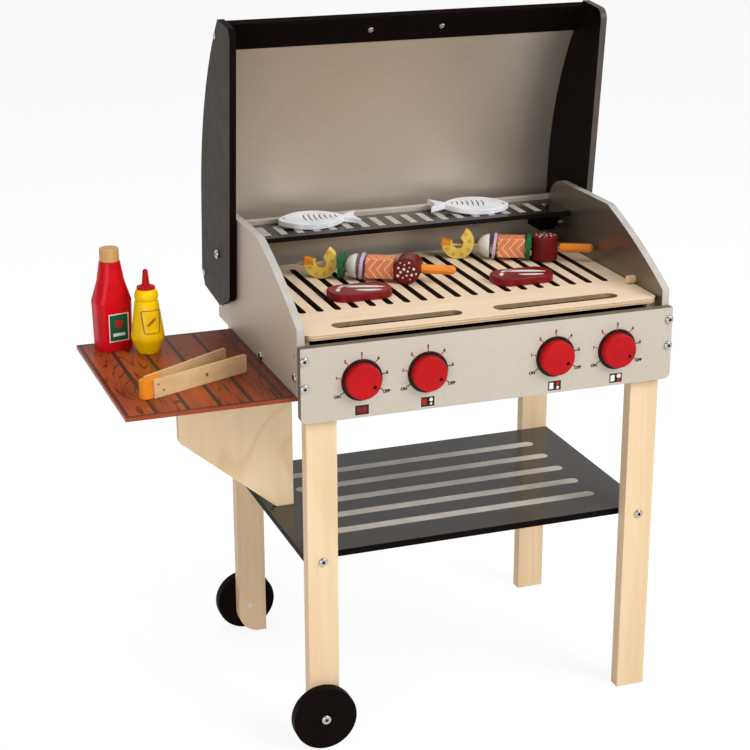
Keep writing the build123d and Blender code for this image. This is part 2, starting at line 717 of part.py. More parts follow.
def lid_handle():
    """A flat wooden grip strip on the outside of the front rail."""
    middle = RAIL_L / 2
    bar = rail_bar(
        -HANDLE_L / 2, HANDLE_L / 2, middle - HANDLE_W / 2, middle + HANDLE_W / 2,
        RAIL_T, RAIL_T + HANDLE_T,
    )
    ends = bar.faces().sort_by(Axis.X)
    bar = chamfer(ends[0].edges() + ends[-1].edges(), HANDLE_CHAMFER)
    return opened(drill(bar, handle_screws))


def lid_screw(seat, direction, length):
    """One screw of the lid."""
    return bolt(seat, direction, length, SCREW_R, SCREW_HEAD_R, LID_SCREW_HEAD_T)


def lid_screws():
    """Screws through the lid sides into the rails, and through the front rail into the handle."""
    heads = []
    for s in (-1, 1):
        for seat in (rail_screw_seats[s], tail_screw_seats[s]):
            heads.append(lid_screw(seat, (-s, 0, 0), lid_screw_length))
    for seat in handle_screw_seats:
        heads.append(lid_screw(seat, rail_normal, handle_screw_length))
    return opened(Compound(heads))


def skewer_frame(grip_from, turn):
    """Frame of a skewer: origin at the stick's tip, X along the stick, Z up."""
    x = SIDE_IN - grip_from[0] - SKEWER_L * cos(radians(turn))
    y = BODY_D - grip_from[1] - SKEWER_L * sin(radians(turn))
    return Pos(x, y, PLATE_TOP + STICK_H) * Rot(0, 0, turn)


def threaded(shape):
    """Bore a food piece for the stick."""
    return shape - rod(STICK_R, (-5, 0, 0), (SKEWER_L + 5, 0, 0))


def skewer_stick():
    """The thin stick with its thick rounded handle."""
    stick = rod(STICK_R, (0, 0, 0), (SKEWER_GRIP_START + 1, 0, 0))
    grip = rod(SKEWER_GRIP_R, (SKEWER_GRIP_START, 0, 0), (SKEWER_L, 0, 0))
    ends = grip.edges().filter_by(GeomType.CIRCLE).sort_by(Axis.X)
    grip = fillet(ends[-1], SKEWER_GRIP_END_R)
    return stick + grip


def skewer_shrimp(start):
    """A curled shrimp: two thirds of a ring on edge, open at the top."""
    ring = Circle(SHRIMP_R) - Circle(SHRIMP_BORE)
    gap = loop((0, 0), (-SHRIMP_R * 1.6, SHRIMP_R * 0.42), (-SHRIMP_R, 2 * SHRIMP_R),
               (SHRIMP_R, 2 * SHRIMP_R), (SHRIMP_R * 0.75, SHRIMP_R * 1.3))
    arc = front_slab(ring - gap, -SHRIMP_T / 2, SHRIMP_T / 2)
    arc = Pos(start + SHRIMP_R, 0, SHRIMP_RISE) * arc
    return threaded(arc)


def skewer_slices(slice_at, onion_at, mushroom_at):
    """A green pepper slice, a lilac onion slice and half a mushroom, each a separate solid."""
    pepper = Pos(slice_at, 0, 0) * Rot(0, 90 + PEPPER_TILT, 0) * Cylinder(PEPPER_R, PEPPER_T)
    onion = Pos(onion_at, 0, 0) * Rot(0, 90 + ONION_TILT, 0) * Cylinder(ONION_R, ONION_T)
    dome = Sphere(MUSHROOM_R) & Pos(-MUSHROOM_R, 0, 0) * Box(
        2 * MUSHROOM_R, 3 * MUSHROOM_R, 3 * MUSHROOM_R
    )
    return [threaded(piece) for piece in (pepper, onion, Pos(mushroom_at, 0, 0) * dome)]


def skewer_salmon(start):
    """A square block of salmon."""
    length, width, height = SALMON
    piece = Pos(start + length / 2, 0, 0) * Box(length, width, height)
    return threaded(fillet(piece.edges().filter_by(Axis.X), FOOD_EDGE_R))


def skewer_salami(middle, upright):
    """A short salami: standing upright, or lying across the stick."""
    turn = Rot(0, 0, 0) if upright else Rot(90, 0, 0)
    piece = Cylinder(SALAMI_R, SALAMI_L)
    piece = fillet(piece.edges().filter_by(GeomType.CIRCLE), FOOD_EDGE_R)
    return threaded(Pos(middle, 0, 0) * turn * piece)


def skewer(name, grip_from, turn, salmon_at, salami_at, upright, slices):
    """All pieces of one skewer, laid on the grill plate."""
    frame = skewer_frame(grip_from, turn)
    add(name + "_stick", frame * skewer_stick())
    add(name + "_shrimp", frame * skewer_shrimp(slices["shrimp"]))
    loose = skewer_slices(slices["pepper"], slices["onion"], slices["mushroom"])
    add(name + "_slices", Compound([frame * piece for piece in loose]))
    add(name + "_salmon", frame * skewer_salmon(salmon_at))
    add(name + "_salami", frame * skewer_salami(salami_at, upright))


def steak(x, ahead):
    """An oval steak that lies on the plate."""
    length, width, thick = STEAK
    outline = RectangleRounded(length, width, STEAK_R)
    slab = Pos(x, BODY_D - ahead, PLATE_TOP) * extrude(outline, thick)
    top = slab.faces().sort_by(Axis.Z)[-1].edges()
    return fillet(top, STEAK_EDGE_R)


def fish(x, ahead, turn, way):
    """A flat fish; it lies on the rack and leans on the back panel's upper edge."""
    half = FISH_L / 2
    body_end = half - FISH_TAIL_L
    neck = FISH_TAIL_NECK / 2
    fin = FISH_TAIL_W / 2
    back = ThreePointArc((-half, 0), (-FISH_GIRTH_AT, FISH_H / 2), (body_end, neck))
    belly = ThreePointArc((body_end, -neck), (-FISH_GIRTH_AT, -FISH_H / 2), (-half, 0))
    tail = Polyline(
        (body_end, neck), (half, fin), (half - FISH_TAIL_NOTCH, 0), (half, -fin), (body_end, -neck)
    )
    face = make_face([back, belly] + list(tail.edges()))
    nose = face.vertices().sort_by(Axis.X)[0]
    body = extrude(fillet(nose, FISH_NOSE_R), FISH_T)
    lying = Rot(0, 0, turn) * (Rot(0, 0, 0) if way > 0 else Rot(0, 0, 180)) * body
    low = lying.bounding_box().min.Y
    seated = Pos(0, -low, 0) * lying
    tilted = Rot(FISH_TILT, 0, 0) * seated
    return Pos(x, BODY_D - ahead, RACK_TOP + FACE_GAP / 3) * tilted


def nearly_round(width, depth):
    """A rounded oblong whose corners leave only a short flat on each side."""
    return RectangleRounded(width, depth, depth / 2 - KETCHUP_FLAT)


def ketchup():
    """The red bottle: rounded oblong below, drawn in to a round neck, with a wooden cap."""
    place = Pos(*KETCHUP_AT, TABLE_TOP) * Rot(0, 0, KETCHUP_TURN)
    scale_foot = KETCHUP_BASE_W / KETCHUP_W
    foot = RectangleRounded(KETCHUP_BASE_W, KETCHUP_D * scale_foot, KETCHUP_R * scale_foot)
    shoulder = Pos(0, 0, KETCHUP_SHOULDER) * RectangleRounded(KETCHUP_W, KETCHUP_D, KETCHUP_R)
    waist_z = (KETCHUP_SHOULDER + KETCHUP_NECK_Z) / 2
    waist = Pos(0, 0, waist_z) * nearly_round(KETCHUP_WAIST_W, KETCHUP_WAIST_D)
    neck = Pos(0, 0, KETCHUP_NECK_Z) * nearly_round(2 * KETCHUP_NECK_R, 2 * KETCHUP_NECK_R)
    body = loft([foot, shoulder], ruled=True) + loft([shoulder, waist], ruled=True)
    body = body + loft([waist, neck], ruled=True)
    cap = Pos(0, 0, KETCHUP_NECK_Z) * Cylinder(
        CAP_R, CAP_H, align=(Align.CENTER, Align.CENTER, Align.MIN)
    )
    cap = fillet(cap.edges().filter_by(GeomType.CIRCLE).sort_by(Axis.Z)[-1], CAP_EDGE_R)
    return place * body, place * cap


def mustard():
    """The yellow turned bottle and its red nozzle."""
    place = Pos(*MUSTARD_AT, TABLE_TOP)
    low, high = MUSTARD_BELLY_Z - MUSTARD_BELLY_H / 2, MUSTARD_BELLY_Z + MUSTARD_BELLY_H / 2
    belly = MUSTARD_R - 0.5
    waist, groove = MUSTARD_WAIST_R, MUSTARD_WAIST_R - MUSTARD_GROOVE
    groove_z = MUSTARD_WAIST_Z + MUSTARD_GROOVE
    collar_z = MUSTARD_TOP - NOZZLE_DISC_T
    side = [
        Line((0, 0), (MUSTARD_FOOT_R, 0)),
        Line((MUSTARD_FOOT_R, 0), (belly, low)),
        ThreePointArc((belly, low), (MUSTARD_R, MUSTARD_BELLY_Z), (belly, high)),
        Line((belly, high), (waist, MUSTARD_WAIST_Z)),
        Line((waist, MUSTARD_WAIST_Z), (groove, groove_z)),
        ThreePointArc((groove, groove_z), (waist, (groove_z + collar_z) / 2), (groove, collar_z)),
        Line((groove, collar_z), (NOZZLE_DISC_R, MUSTARD_TOP)),
        Line((NOZZLE_DISC_R, MUSTARD_TOP), (0, MUSTARD_TOP)),
        Line((0, MUSTARD_TOP), (0, 0)),
    ]
    body = revolve(Plane.XZ * make_face(side), Axis.Z)
    disc_r, foot_r, tip_r = NOZZLE_DISC_R, NOZZLE_FOOT_R, NOZZLE_TIP_R
    disc_z, foot_z = MUSTARD_TOP + NOZZLE_DISC_T, MUSTARD_TOP + NOZZLE_FOOT_H
    tip_z = MUSTARD_TOP + NOZZLE_H
    diagonal = tip_r * sin(radians(45))
    tip = [
        Line((0, MUSTARD_TOP), (disc_r, MUSTARD_TOP)),
        Line((disc_r, MUSTARD_TOP), (disc_r, disc_z)),
        Line((disc_r, disc_z), (foot_r, foot_z)),
        Line((foot_r, foot_z), (tip_r, tip_z)),
        ThreePointArc((tip_r, tip_z), (diagonal, tip_z + diagonal), (0, tip_z + tip_r)),
        Line((0, tip_z + tip_r), (0, MUSTARD_TOP)),
    ]
    nozzle = revolve(Plane.XZ * make_face(tip), Axis.Z)
    return place * body, place * nozzle


def tongs_frame():
    """Frame of the tongs: origin on the table at the block's outer end, X towards the tips."""
    return Pos(*TONGS_AT, TABLE_TOP + FACE_GAP / 3) * Rot(0, 0, TONGS_TURN)


def tongs_block():
    """The orange wedge between the arms, with its round outer end."""
    half = TONG_BLOCK_W / 2
    grow = (TONG_BLOCK_L - TONG_BLOCK_OUT) * tan(radians(TONG_SPREAD))
    face = loop(
        (-TONG_BLOCK_OUT + half, -half), (0, -half),
        (TONG_BLOCK_L - TONG_BLOCK_OUT, -half - grow), (TONG_BLOCK_L - TONG_BLOCK_OUT, half + grow),
        (0, half), (-TONG_BLOCK_OUT + half, half),
    )
    head = Pos(-TONG_BLOCK_OUT + half, 0) * Circle(half)
    return tongs_frame() * extrude(face + head, TONG_H)


def tong_pivot(side):
    """Where an arm leaves the block, in the frame of the tongs."""
    reach = TONG_BLOCK_L - TONG_BLOCK_OUT
    return reach, side * (TONG_BLOCK_W / 2 + reach * tan(radians(TONG_SPREAD)))


def tong_arm(side):
    """One thin arm, nailed on the block, with its far corners rounded."""
    px, py = tong_pivot(side)
    start = -px / cos(radians(TONG_SPREAD))
    outline = Pos(start + TONG_ARM_L / 2, TONG_H / 2) * Rectangle(TONG_ARM_L, TONG_H)
    outline = fillet(outline.vertices().sort_by(Axis.X)[-2:], TONG_TIP_R)
    arm = front_slab(outline, 0, TONG_ARM_T) if side > 0 else front_slab(outline, -TONG_ARM_T, 0)
    face_y, head_y = side * TONG_ARM_T, side * (TONG_ARM_T + NAIL_HEAD_T)
    for along, z in NAILS_AT:
        arm = arm + rod(NAIL_R, (start + along, face_y, z), (start + along, head_y, z))
    return tongs_frame() * Pos(px, py, 0) * Rot(0, 0, side * TONG_SPREAD) * arm


def build_body():
    """The fixed pieces of the grill."""
    add("front_panel", front_panel())
    back = block(-HALF, HALF, BODY_D, BACK_Y, SIDE_BOTTOM, BACK_TOP)
    add("back_panel", back)
    for s, word in ((-1, "left"), (1, "right")):
        add("side_panel_" + word, side_panel(s))
        add("leg_front_" + word, leg(s, True))
        add("leg_rear_" + word, leg(s, False))
        add("plate_ledge_" + word, plate_ledge(s))
        add("plate_peg_" + word, plate_peg(s))
        add("rack_block_" + word, rack_block(s))
        add("lid_pivot_" + word, pivot(s))
    add("base_board", base_board())
    add("lower_shelf", lower_shelf())
    add("side_table", side_table())
    add("table_bracket", table_bracket())
    add("warming_rack", warming_rack())


def build_fasteners():
    """Bolts, cross dowels and screws of the fixed pieces."""
    panel_bolts = [bolt(seat, (0, 1, 0), BOLT_REACH) for seat in panel_bolt_seats]
    dowels = [drill(dowel, panel_bolt_holes) for s in (-1, 1) for dowel in cross_dowels[s]]
    add("panel_bolts", Compound(panel_bolts + dowels))
    shelf = [
        bolt(seat, (0, 1 if y == FRONT_T else -1, 0), shelf_bolt_length)
        for (sx, y), seat in shelf_bolt_seats.items()
    ]
    side = [
        bolt(seat, (-s, 0, 0), side_bolt_length)
        for s in (-1, 1)
        for seat in side_bolt_seats[s] + [base_bolt_seats[s]]
    ]
    add("frame_bolts", Compound(shelf + side))
    rack = [
        bolt(seat, (0, 0, -1), rack_screw_length, SCREW_R, SCREW_HEAD_R, SCREW_HEAD_T)
        for seat in rack_screw_seats
    ]
    table = [
        bolt(seat, (0, 0, 1), table_screw_length, SCREW_R, SCREW_HEAD_R, SCREW_HEAD_T)
        for seat in table_screw_seats
    ]
    add("small_screws", Compound(rack + table))


def build_moving():
    """The lid, plate, knobs and wheels."""
    for s, word in ((-1, "left"), (1, "right")):
        add("lid_side_" + word, lid_side(s))
    add("lid_cover", lid_cover())
    add("lid_front_rail", lid_front_rail())
    add("lid_rear_rail", lid_rear_rail())
    add("lid_handle", lid_handle())
    add("lid_screws", lid_screws())
    add("grill_plate", grill_plate())
    for number, x in enumerate(KNOB_XS, 1):
        add(f"knob_{number}", knob(x))
    axles = []
    for word in ("front", "rear"):
        disc, axle = wheel(word == "front")
        add("wheel_" + word, disc)
        axles.append(axle)
    add("wheel_bolts", Compound(axles))


def build_play_set():
    """The food, bottles and tongs."""
    skewer(
        "skewer_left", SKEWER_LEFT_FROM, SKEWER_LEFT_TURN, salmon_at=94.0, salami_at=150.0, upright=False,
        slices={"shrimp": 9.0, "pepper": 60.0, "mushroom": 81.0, "onion": 88.0},
    )
    skewer(
        "skewer_right", SKEWER_RIGHT_FROM, SKEWER_RIGHT_TURN, salmon_at=82.0, salami_at=147.0, upright=True,
        slices={"shrimp": 4.0, "pepper": 124.5, "mushroom": 70.5, "onion": 77.5},
    )
    add("steak_left", steak(STEAK_LEFT_X, STEAK_LEFT_BACK))
    add("steak_right", steak(STEAK_RIGHT_X, STEAK_RIGHT_BACK))
    add("fish_left", fish(FISH_LEFT_X, FISH_LEFT_BACK, FISH_LEFT_TURN, 1))
    add("fish_right", fish(FISH_RIGHT_X, FISH_RIGHT_BACK, FISH_RIGHT_TURN, -1))
    bottle, cap = ketchup()
    add("ketchup_bottle", bottle)
    add("ketchup_cap", cap)
    bottle, nozzle = mustard()
    add("mustard_bottle", bottle)
    add("mustard_nozzle", nozzle)
    add("tongs_block", tongs_block())
    add("tongs_arm_front", tong_arm(-1))
    add("tongs_arm_rear", tong_arm(1))


build_body()
build_fasteners()
build_moving()
build_play_set()

bounds = Compound([solid for shape in nodes.values() for solid in shape.solids()]).bounding_box()
shift = Pos(-bounds.center().X, -bounds.center().Y, -bounds.min.Z)

if __name__ == "__main__":
    os.makedirs("parts", exist_ok=True)
    for name, shape in nodes.items():
        export_step(shift * shape, f"parts/{name}.step")
    size = bounds.size
    print(f"{len(nodes)} pieces, {size.X:.1f} x {size.Y:.1f} x {size.Z:.1f} mm")
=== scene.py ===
"""Looks of a child's wooden play barbecue: bare birch, printed boards, black stain and painted food.

Every length is in metres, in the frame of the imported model: X to the right, Y from the front panel
towards the back, Z up from the floor. The lid stands open at rest.
"""

import json
import logging
import math
from collections import defaultdict
from collections.abc import Callable, Iterator
from contextlib import contextmanager
from dataclasses import dataclass
from enum import Enum

import bpy
from mathutils import Matrix, Vector

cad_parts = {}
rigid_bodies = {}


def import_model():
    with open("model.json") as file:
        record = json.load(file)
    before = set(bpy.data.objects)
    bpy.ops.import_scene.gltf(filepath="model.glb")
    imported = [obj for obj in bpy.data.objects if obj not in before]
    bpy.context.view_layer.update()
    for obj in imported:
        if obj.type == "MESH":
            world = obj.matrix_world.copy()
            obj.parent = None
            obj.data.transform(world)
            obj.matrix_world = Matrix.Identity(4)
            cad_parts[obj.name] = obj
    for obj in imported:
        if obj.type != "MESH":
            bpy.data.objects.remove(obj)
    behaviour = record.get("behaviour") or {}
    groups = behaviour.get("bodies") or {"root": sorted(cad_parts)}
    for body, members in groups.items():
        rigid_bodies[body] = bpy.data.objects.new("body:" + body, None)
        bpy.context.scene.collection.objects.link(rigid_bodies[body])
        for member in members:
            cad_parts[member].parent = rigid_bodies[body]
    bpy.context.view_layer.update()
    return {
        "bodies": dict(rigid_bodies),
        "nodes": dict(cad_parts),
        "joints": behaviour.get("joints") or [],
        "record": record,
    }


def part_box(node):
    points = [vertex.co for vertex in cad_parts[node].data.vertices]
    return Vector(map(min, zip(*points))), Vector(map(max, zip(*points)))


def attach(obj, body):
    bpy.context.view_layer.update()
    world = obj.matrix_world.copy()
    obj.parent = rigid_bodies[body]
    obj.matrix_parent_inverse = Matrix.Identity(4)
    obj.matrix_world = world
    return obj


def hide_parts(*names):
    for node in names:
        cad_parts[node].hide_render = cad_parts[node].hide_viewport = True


LOG = logging.getLogger("play_barbecue")
MM = 0.001
SIDES = (("left", -1.0), ("right", 1.0))
STANDING = Matrix.Rotation(math.radians(90.0), 4, "X")

Triple = tuple[float, float, float]
Test = Callable[[Vector, Vector], bool]

COLOUR = "NodeSocketColor"
VALUE = "NodeSocketFloat"
VECTOR = "NodeSocketVector"


class Grain(Enum):
    """Which way the fibres or brush lines of a board run, as the turn that brings them to X."""

    ALONG_X = (0.0, 0.0, 0.0)
    ALONG_Y = (0.0, 0.0, -90.0)
    ALONG_Z = (0.0, 90.0, 0.0)


class Across(Enum):
    """Which axis runs through a board's thickness."""

    Y = 1
    Z = 2


class Ink(Enum):
    """Printing inks and paints used in thin printed shapes."""

    BLACK = (0.012, 0.010, 0.009)
    RED = (0.50, 0.012, 0.014)
    WHITE = (0.80, 0.79, 0.76)
    SILVER = (0.60, 0.55, 0.49)
    # Painted light: a paler copy of SILVER for the shelf's stripes, which lie in the shade under the body.
    LIT_SILVER = (0.80, 0.74, 0.67)
    GREEN = (0.012, 0.10, 0.045)
    RUST = (0.42, 0.10, 0.03)
    SLATE = (0.075, 0.085, 0.11)


class Graph:
    """Short ways to add and wire the nodes of one tree."""

    def __init__(self, tree: bpy.types.NodeTree) -> None:
        """Keep the tree that gets the nodes."""
        self.tree = tree

    def add(self, kind: str, inputs: dict | None = None, **settings: object) -> bpy.types.Node:
        """Add one node.

        Args:
            kind: Blender's name of the node.
            inputs: Values or sockets for its inputs, by name or number.
            **settings: Attributes of the node.

        Returns:
            The new node.
        """
        node = self.tree.nodes.new(kind)
        for name, value in settings.items():
            setattr(node, name, value)
        self.feed(node, inputs or {})
        return node

    def feed(self, node: bpy.types.Node, inputs: dict) -> None:
        """Link sockets to a node's inputs, or set the inputs' own values.

        Args:
            node: The node to feed.
            inputs: Values or sockets for its inputs, by name or number.
        """
        for name, value in inputs.items():
            target = node.inputs[name]
            if isinstance(value, bpy.types.NodeSocket):
                self.tree.links.new(value, target)
            elif target.type == "RGBA" and len(value) == 3:
                target.default_value = (*value, 1.0)
            else:
                target.default_value = value

    def math(self, operation: str, first: object, second: object = 0.0) -> bpy.types.NodeSocket:
        """One Math node's result."""
        return self.add("ShaderNodeMath", {0: first, 1: second}, operation=operation).outputs[0]

    def distance(self, first: object, second: object) -> bpy.types.NodeSocket:
        """How far apart two values are."""
        return self.math("ABSOLUTE", self.math("SUBTRACT", first, second))

    def weighted(self, *terms: tuple[object, float]) -> bpy.types.NodeSocket:
        """Add values up, each times its weight.

        Args:
            *terms: Each value with its weight.

        Returns:
            The sum's socket.
        """
        total, *rest = [self.math("MULTIPLY", value, weight) for value, weight in terms]
        for part in rest:
            total = self.math("ADD", total, part)
        return total

    def noise(self, vector: object, factors: Triple, detail: float = 3.0,
              distortion: float = 0.0) -> bpy.types.NodeSocket:
        """Noise from 0 to 1.

        Args:
            vector: The place to read it at.
            factors: How many cells there are in a metre along each axis.
            detail: How many finer layers it has.
            distortion: How much it swirls.

        Returns:
            The noise value's socket.
        """
        scaled = self.add("ShaderNodeVectorMath", {0: vector, 1: factors}, operation="MULTIPLY")
        inputs = {"Vector": scaled.outputs[0], "Scale": 1.0, "Detail": detail, "Distortion": distortion}
        return self.add("ShaderNodeTexNoise", inputs).outputs["Fac"]

    def spread(self, value: object, low: float, high: float, to_low: float = 0.0,
               to_high: float = 1.0) -> bpy.types.NodeSocket:
        """Map a range of values onto another one, with the ends clamped."""
        inputs = {"Value": value, "From Min": low, "From Max": high, "To Min": to_low, "To Max": to_high}
        return self.add("ShaderNodeMapRange", inputs).outputs["Result"]

    def mix(self, factor: object, first: object, second: object) -> bpy.types.NodeSocket:
        """Mix two colours."""
        inputs = {"Factor": factor, 6: first, 7: second}
        return self.add("ShaderNodeMix", inputs, data_type="RGBA").outputs[2]

    def split(self, vector: object) -> list[bpy.types.NodeSocket]:
        """The three parts of a vector."""
        return list(self.add("ShaderNodeSeparateXYZ", {0: vector}).outputs)

    def along(self, place: object, grain: Grain) -> bpy.types.NodeSocket:
        """Coordinates turned so that a board's grain runs along X."""
        turn = tuple(math.radians(degrees) for degrees in grain.value)
        return self.add("ShaderNodeMapping", {"Vector": place, "Rotation": turn}).outputs[0]

    def bump(self, shader: bpy.types.Node, height: object, strength: float, depth: float) -> None:
        """Feed a height from 0 to 1 into a shader's normal, with its real depth."""
        node = self.add("ShaderNodeBump", {"Height": height, "Strength": strength, "Distance": depth})
        self.feed(shader, {"Normal": node.outputs[0]})


class Effect:
    """A node group that materials share; it puts out colours, values and heights, never a shader."""

    name = "effect"
    inputs: dict[str, str] = {}
    outputs = {"Color": COLOUR, "Roughness": VALUE, "Height": VALUE}

    def wire(self, graph: Graph, given: dict) -> dict:
        """Wire the inside; each effect has its own way.

        Args:
            graph: The group's graph.
            given: The input sockets by name.

        Returns:
            The output values by name.
        """
        raise NotImplementedError

    def tree(self) -> bpy.types.NodeTree:
        """Build the group at the first call, and give it back at each later one.

        Returns:
            The node group.
        """
        known = bpy.data.node_groups.get(self.name)
        if known:
            return known
        tree = bpy.data.node_groups.new(self.name, "ShaderNodeTree")
        for way, sockets in (("INPUT", self.inputs), ("OUTPUT", self.outputs)):
            for label, kind in sockets.items():
                tree.interface.new_socket(label, in_out=way, socket_type=kind)
        graph = Graph(tree)
        source = graph.add("NodeGroupInput")
        results = self.wire(graph, {label: source.outputs[label] for label in self.inputs})
        graph.add("NodeGroupOutput", results)
        return tree

    def use(self, graph: Graph, inputs: dict) -> bpy.types.Node:
        """Place the group in a material's graph."""
        return graph.add("ShaderNodeGroup", inputs, node_tree=self.tree())


class WoodGrain(Effect):
    """Wood grain whose fibres run along X: broad figure, fine fibres and a slow change of tone."""

    name = "wood grain"
    inputs = {"Vector": VECTOR, "Pale": COLOUR, "Deep": COLOUR, "Strength": VALUE}

    FIGURE = (2.6, 42.0, 42.0)
    FIBRE = (14.0, 1100.0, 1100.0)
    CLOUD = (5.0, 11.0, 11.0)

    def wire(self, graph: Graph, given: dict) -> dict:
        """Three layers of tone between a pale and a deep wood.

        Args:
            graph: The group's graph.
            given: The input sockets by name.

        Returns:
            The output values by name.
        """
        place = given["Vector"]
        figure = graph.noise(place, self.FIGURE, 4.0, 1.2)
        fibre = graph.noise(place, self.FIBRE, 2.0)
        cloud = graph.noise(place, self.CLOUD, 2.0)
        tone = graph.weighted((graph.spread(figure, 0.36, 0.64), 0.55), (fibre, 0.30), (cloud, 0.35))
        tone = graph.math("MULTIPLY", graph.math("SUBTRACT", tone, 0.15), given["Strength"])
        return {
            "Color": graph.mix(tone, given["Pale"], given["Deep"]),
            "Roughness": graph.spread(fibre, 0.2, 0.8, 0.42, 0.58),
            "Height": fibre,
        }


class BrushedPrint(Effect):
    """Brushed metal print: hair lines along X over a slow cloud."""

    name = "brushed print"
    inputs = {"Vector": VECTOR, "Low": COLOUR, "High": COLOUR}

    HAIR = (160.0, 1900.0, 1900.0)
    LONG_HAIR = (24.0, 900.0, 900.0)
    CLOUD = (4.0, 6.0, 6.0)

    def wire(self, graph: Graph, given: dict) -> dict:
        """Short and long hair lines, and how much rougher they make the surface.

        Args:
            graph: The group's graph.
            given: The input sockets by name.

        Returns:
            The output values by name.
        """
        place = given["Vector"]
        hair = graph.noise(place, self.HAIR, 2.0)
        long_hair = graph.noise(place, self.LONG_HAIR, 3.0)
        cloud = graph.noise(place, self.CLOUD, 1.0)
        tone = graph.spread(graph.weighted((hair, 0.60), (long_hair, 0.22), (cloud, 0.18)), 0.30, 0.70)
        return {
            "Color": graph.mix(tone, given["Low"], given["High"]),
            "Roughness": graph.spread(long_hair, 0.3, 0.7, 0.0, 0.10),
            "Height": hair,
        }


class PlyLayers(Effect):
    """Glued layers of plywood, counted along one coordinate."""

    name = "plywood layers"
    inputs = {"Vector": VECTOR, "Depth": VALUE, "Layer": VALUE, "Pale": COLOUR, "Deep": COLOUR}
    outputs = {"Color": COLOUR, "Height": VALUE}

    RIPPLE = (60.0, 60.0, 60.0)
    FIBRE = (500.0, 500.0, 500.0)

    def wire(self, graph: Graph, given: dict) -> dict:
        """Pale and deep layers by turns, a little wavy.

        Args:
            graph: The group's graph.
            given: The input sockets by name.

        Returns:
            The output values by name.
        """
        ripple = graph.noise(given["Vector"], self.RIPPLE, 2.0)
        count = graph.math("DIVIDE", given["Depth"], given["Layer"])
        count = graph.math("ADD", count, graph.math("MULTIPLY", ripple, 0.25))
        wave = graph.math("SINE", graph.math("MULTIPLY", count, math.tau / 2))
        fibre = graph.noise(given["Vector"], self.FIBRE, 2.0)
        tone = graph.spread(wave, -0.35, 0.35, 0.0, 0.8)
        tone = graph.math("ADD", tone, graph.math("MULTIPLY", fibre, 0.2))
        return {"Color": graph.mix(tone, given["Pale"], given["Deep"]), "Height": fibre}


class Mottle(Effect):
    """The slight unevenness of brushed-on paint or stain: tone, gloss and orange peel."""

    name = "paint mottle"
    inputs = {"Vector": VECTOR, "Color": COLOUR, "Roughness": VALUE}

    CLOUD = (35.0, 35.0, 35.0)
    PEEL = (900.0, 900.0, 900.0)
    WORN = 0.16

    def wire(self, graph: Graph, given: dict) -> dict:
        """Clouds of a darker tone, and a fine peel.

        Args:
            graph: The group's graph.
            given: The input sockets by name.

        Returns:
            The output values by name.
        """
        cloud = graph.noise(given["Vector"], self.CLOUD, 3.0)
        worn = graph.mix(self.WORN, given["Color"], (0.0, 0.0, 0.0))
        uneven = graph.spread(cloud, 0.3, 0.7, -0.05, 0.05)
        return {
            "Color": graph.mix(graph.spread(cloud, 0.35, 0.65), worn, given["Color"]),
            "Roughness": graph.math("ADD", given["Roughness"], uneven),
            "Height": graph.noise(given["Vector"], self.PEEL, 2.0),
        }


@dataclass(frozen=True)
class Finish:
    """A surface finish; its material is made once, under its name."""

    name: str

    def material(self) -> bpy.types.Material:
        """Make the material at the first call, and give it back at each later one.

        Returns:
            The material of this finish.
        """
        known = bpy.data.materials.get(self.name)
        if known:
            return known
        made = bpy.data.materials.new(self.name)
        made.use_nodes = True
        made.node_tree.nodes.clear()
        graph = Graph(made.node_tree)
        shader = graph.add("ShaderNodeBsdfPrincipled")
        graph.add("ShaderNodeOutputMaterial", {"Surface": shader.outputs[0]})
        place = graph.add("ShaderNodeTexCoord").outputs["Object"]
        self.wire(graph, shader, place)
        return made

    def wire(self, graph: Graph, shader: bpy.types.Node, place: bpy.types.NodeSocket) -> None:
        """Wire the shader; each finish has its own way.

        Args:
            graph: The material's graph.
            shader: The Principled BSDF.
            place: Object coordinates.
        """
        raise NotImplementedError


@dataclass(frozen=True)
class BareWood(Finish):
    """Lightly lacquered pale wood."""

    pale: Triple = (0.80, 0.61, 0.39)
    deep: Triple = (0.66, 0.45, 0.25)
    grain: Grain = Grain.ALONG_Z
    strength: float = 0.8

    def wire(self, graph: Graph, shader: bpy.types.Node, place: bpy.types.NodeSocket) -> None:
        """Grain along the board, with a thin satin lacquer.

        Args:
            graph: The material's graph.
            shader: The Principled BSDF.
            place: Object coordinates.
        """
        wood = WoodGrain().use(graph, {
            "Vector": graph.along(place, self.grain), "Pale": self.pale, "Deep": self.deep,
            "Strength": self.strength,
        })
        graph.feed(shader, {"Base Color": wood.outputs["Color"], "Roughness": wood.outputs["Roughness"],
                            "Specular IOR Level": 0.25})
        graph.bump(shader, wood.outputs["Height"], 0.25, 0.2 * MM)


@dataclass(frozen=True)
class PeeledBirch(BareWood):
    """Veneer peeled round the log: wide wandering contour lines over faint fibres."""

    figure: Triple = (8.0, 8.0, 4.4)
    lines: float = 7.0
    depth: float = 0.75

    def wire(self, graph: Graph, shader: bpy.types.Node, place: bpy.types.NodeSocket) -> None:
        """Contour lines of a slow noise, over the plain grain.

        Args:
            graph: The material's graph.
            shader: The Principled BSDF.
            place: Object coordinates.
        """
        super().wire(graph, shader, place)
        plain = shader.inputs["Base Color"].links[0].from_socket
        slow = graph.noise(place, self.figure, 1.0, 0.4)
        ring = graph.math("FRACT", graph.math("MULTIPLY", slow, self.lines))
        line = graph.spread(graph.distance(ring, 0.5), 0.34, 0.5)
        deeper = graph.mix(graph.math("MULTIPLY", line, self.depth), plain, self.deep)
        graph.feed(shader, {"Base Color": deeper})


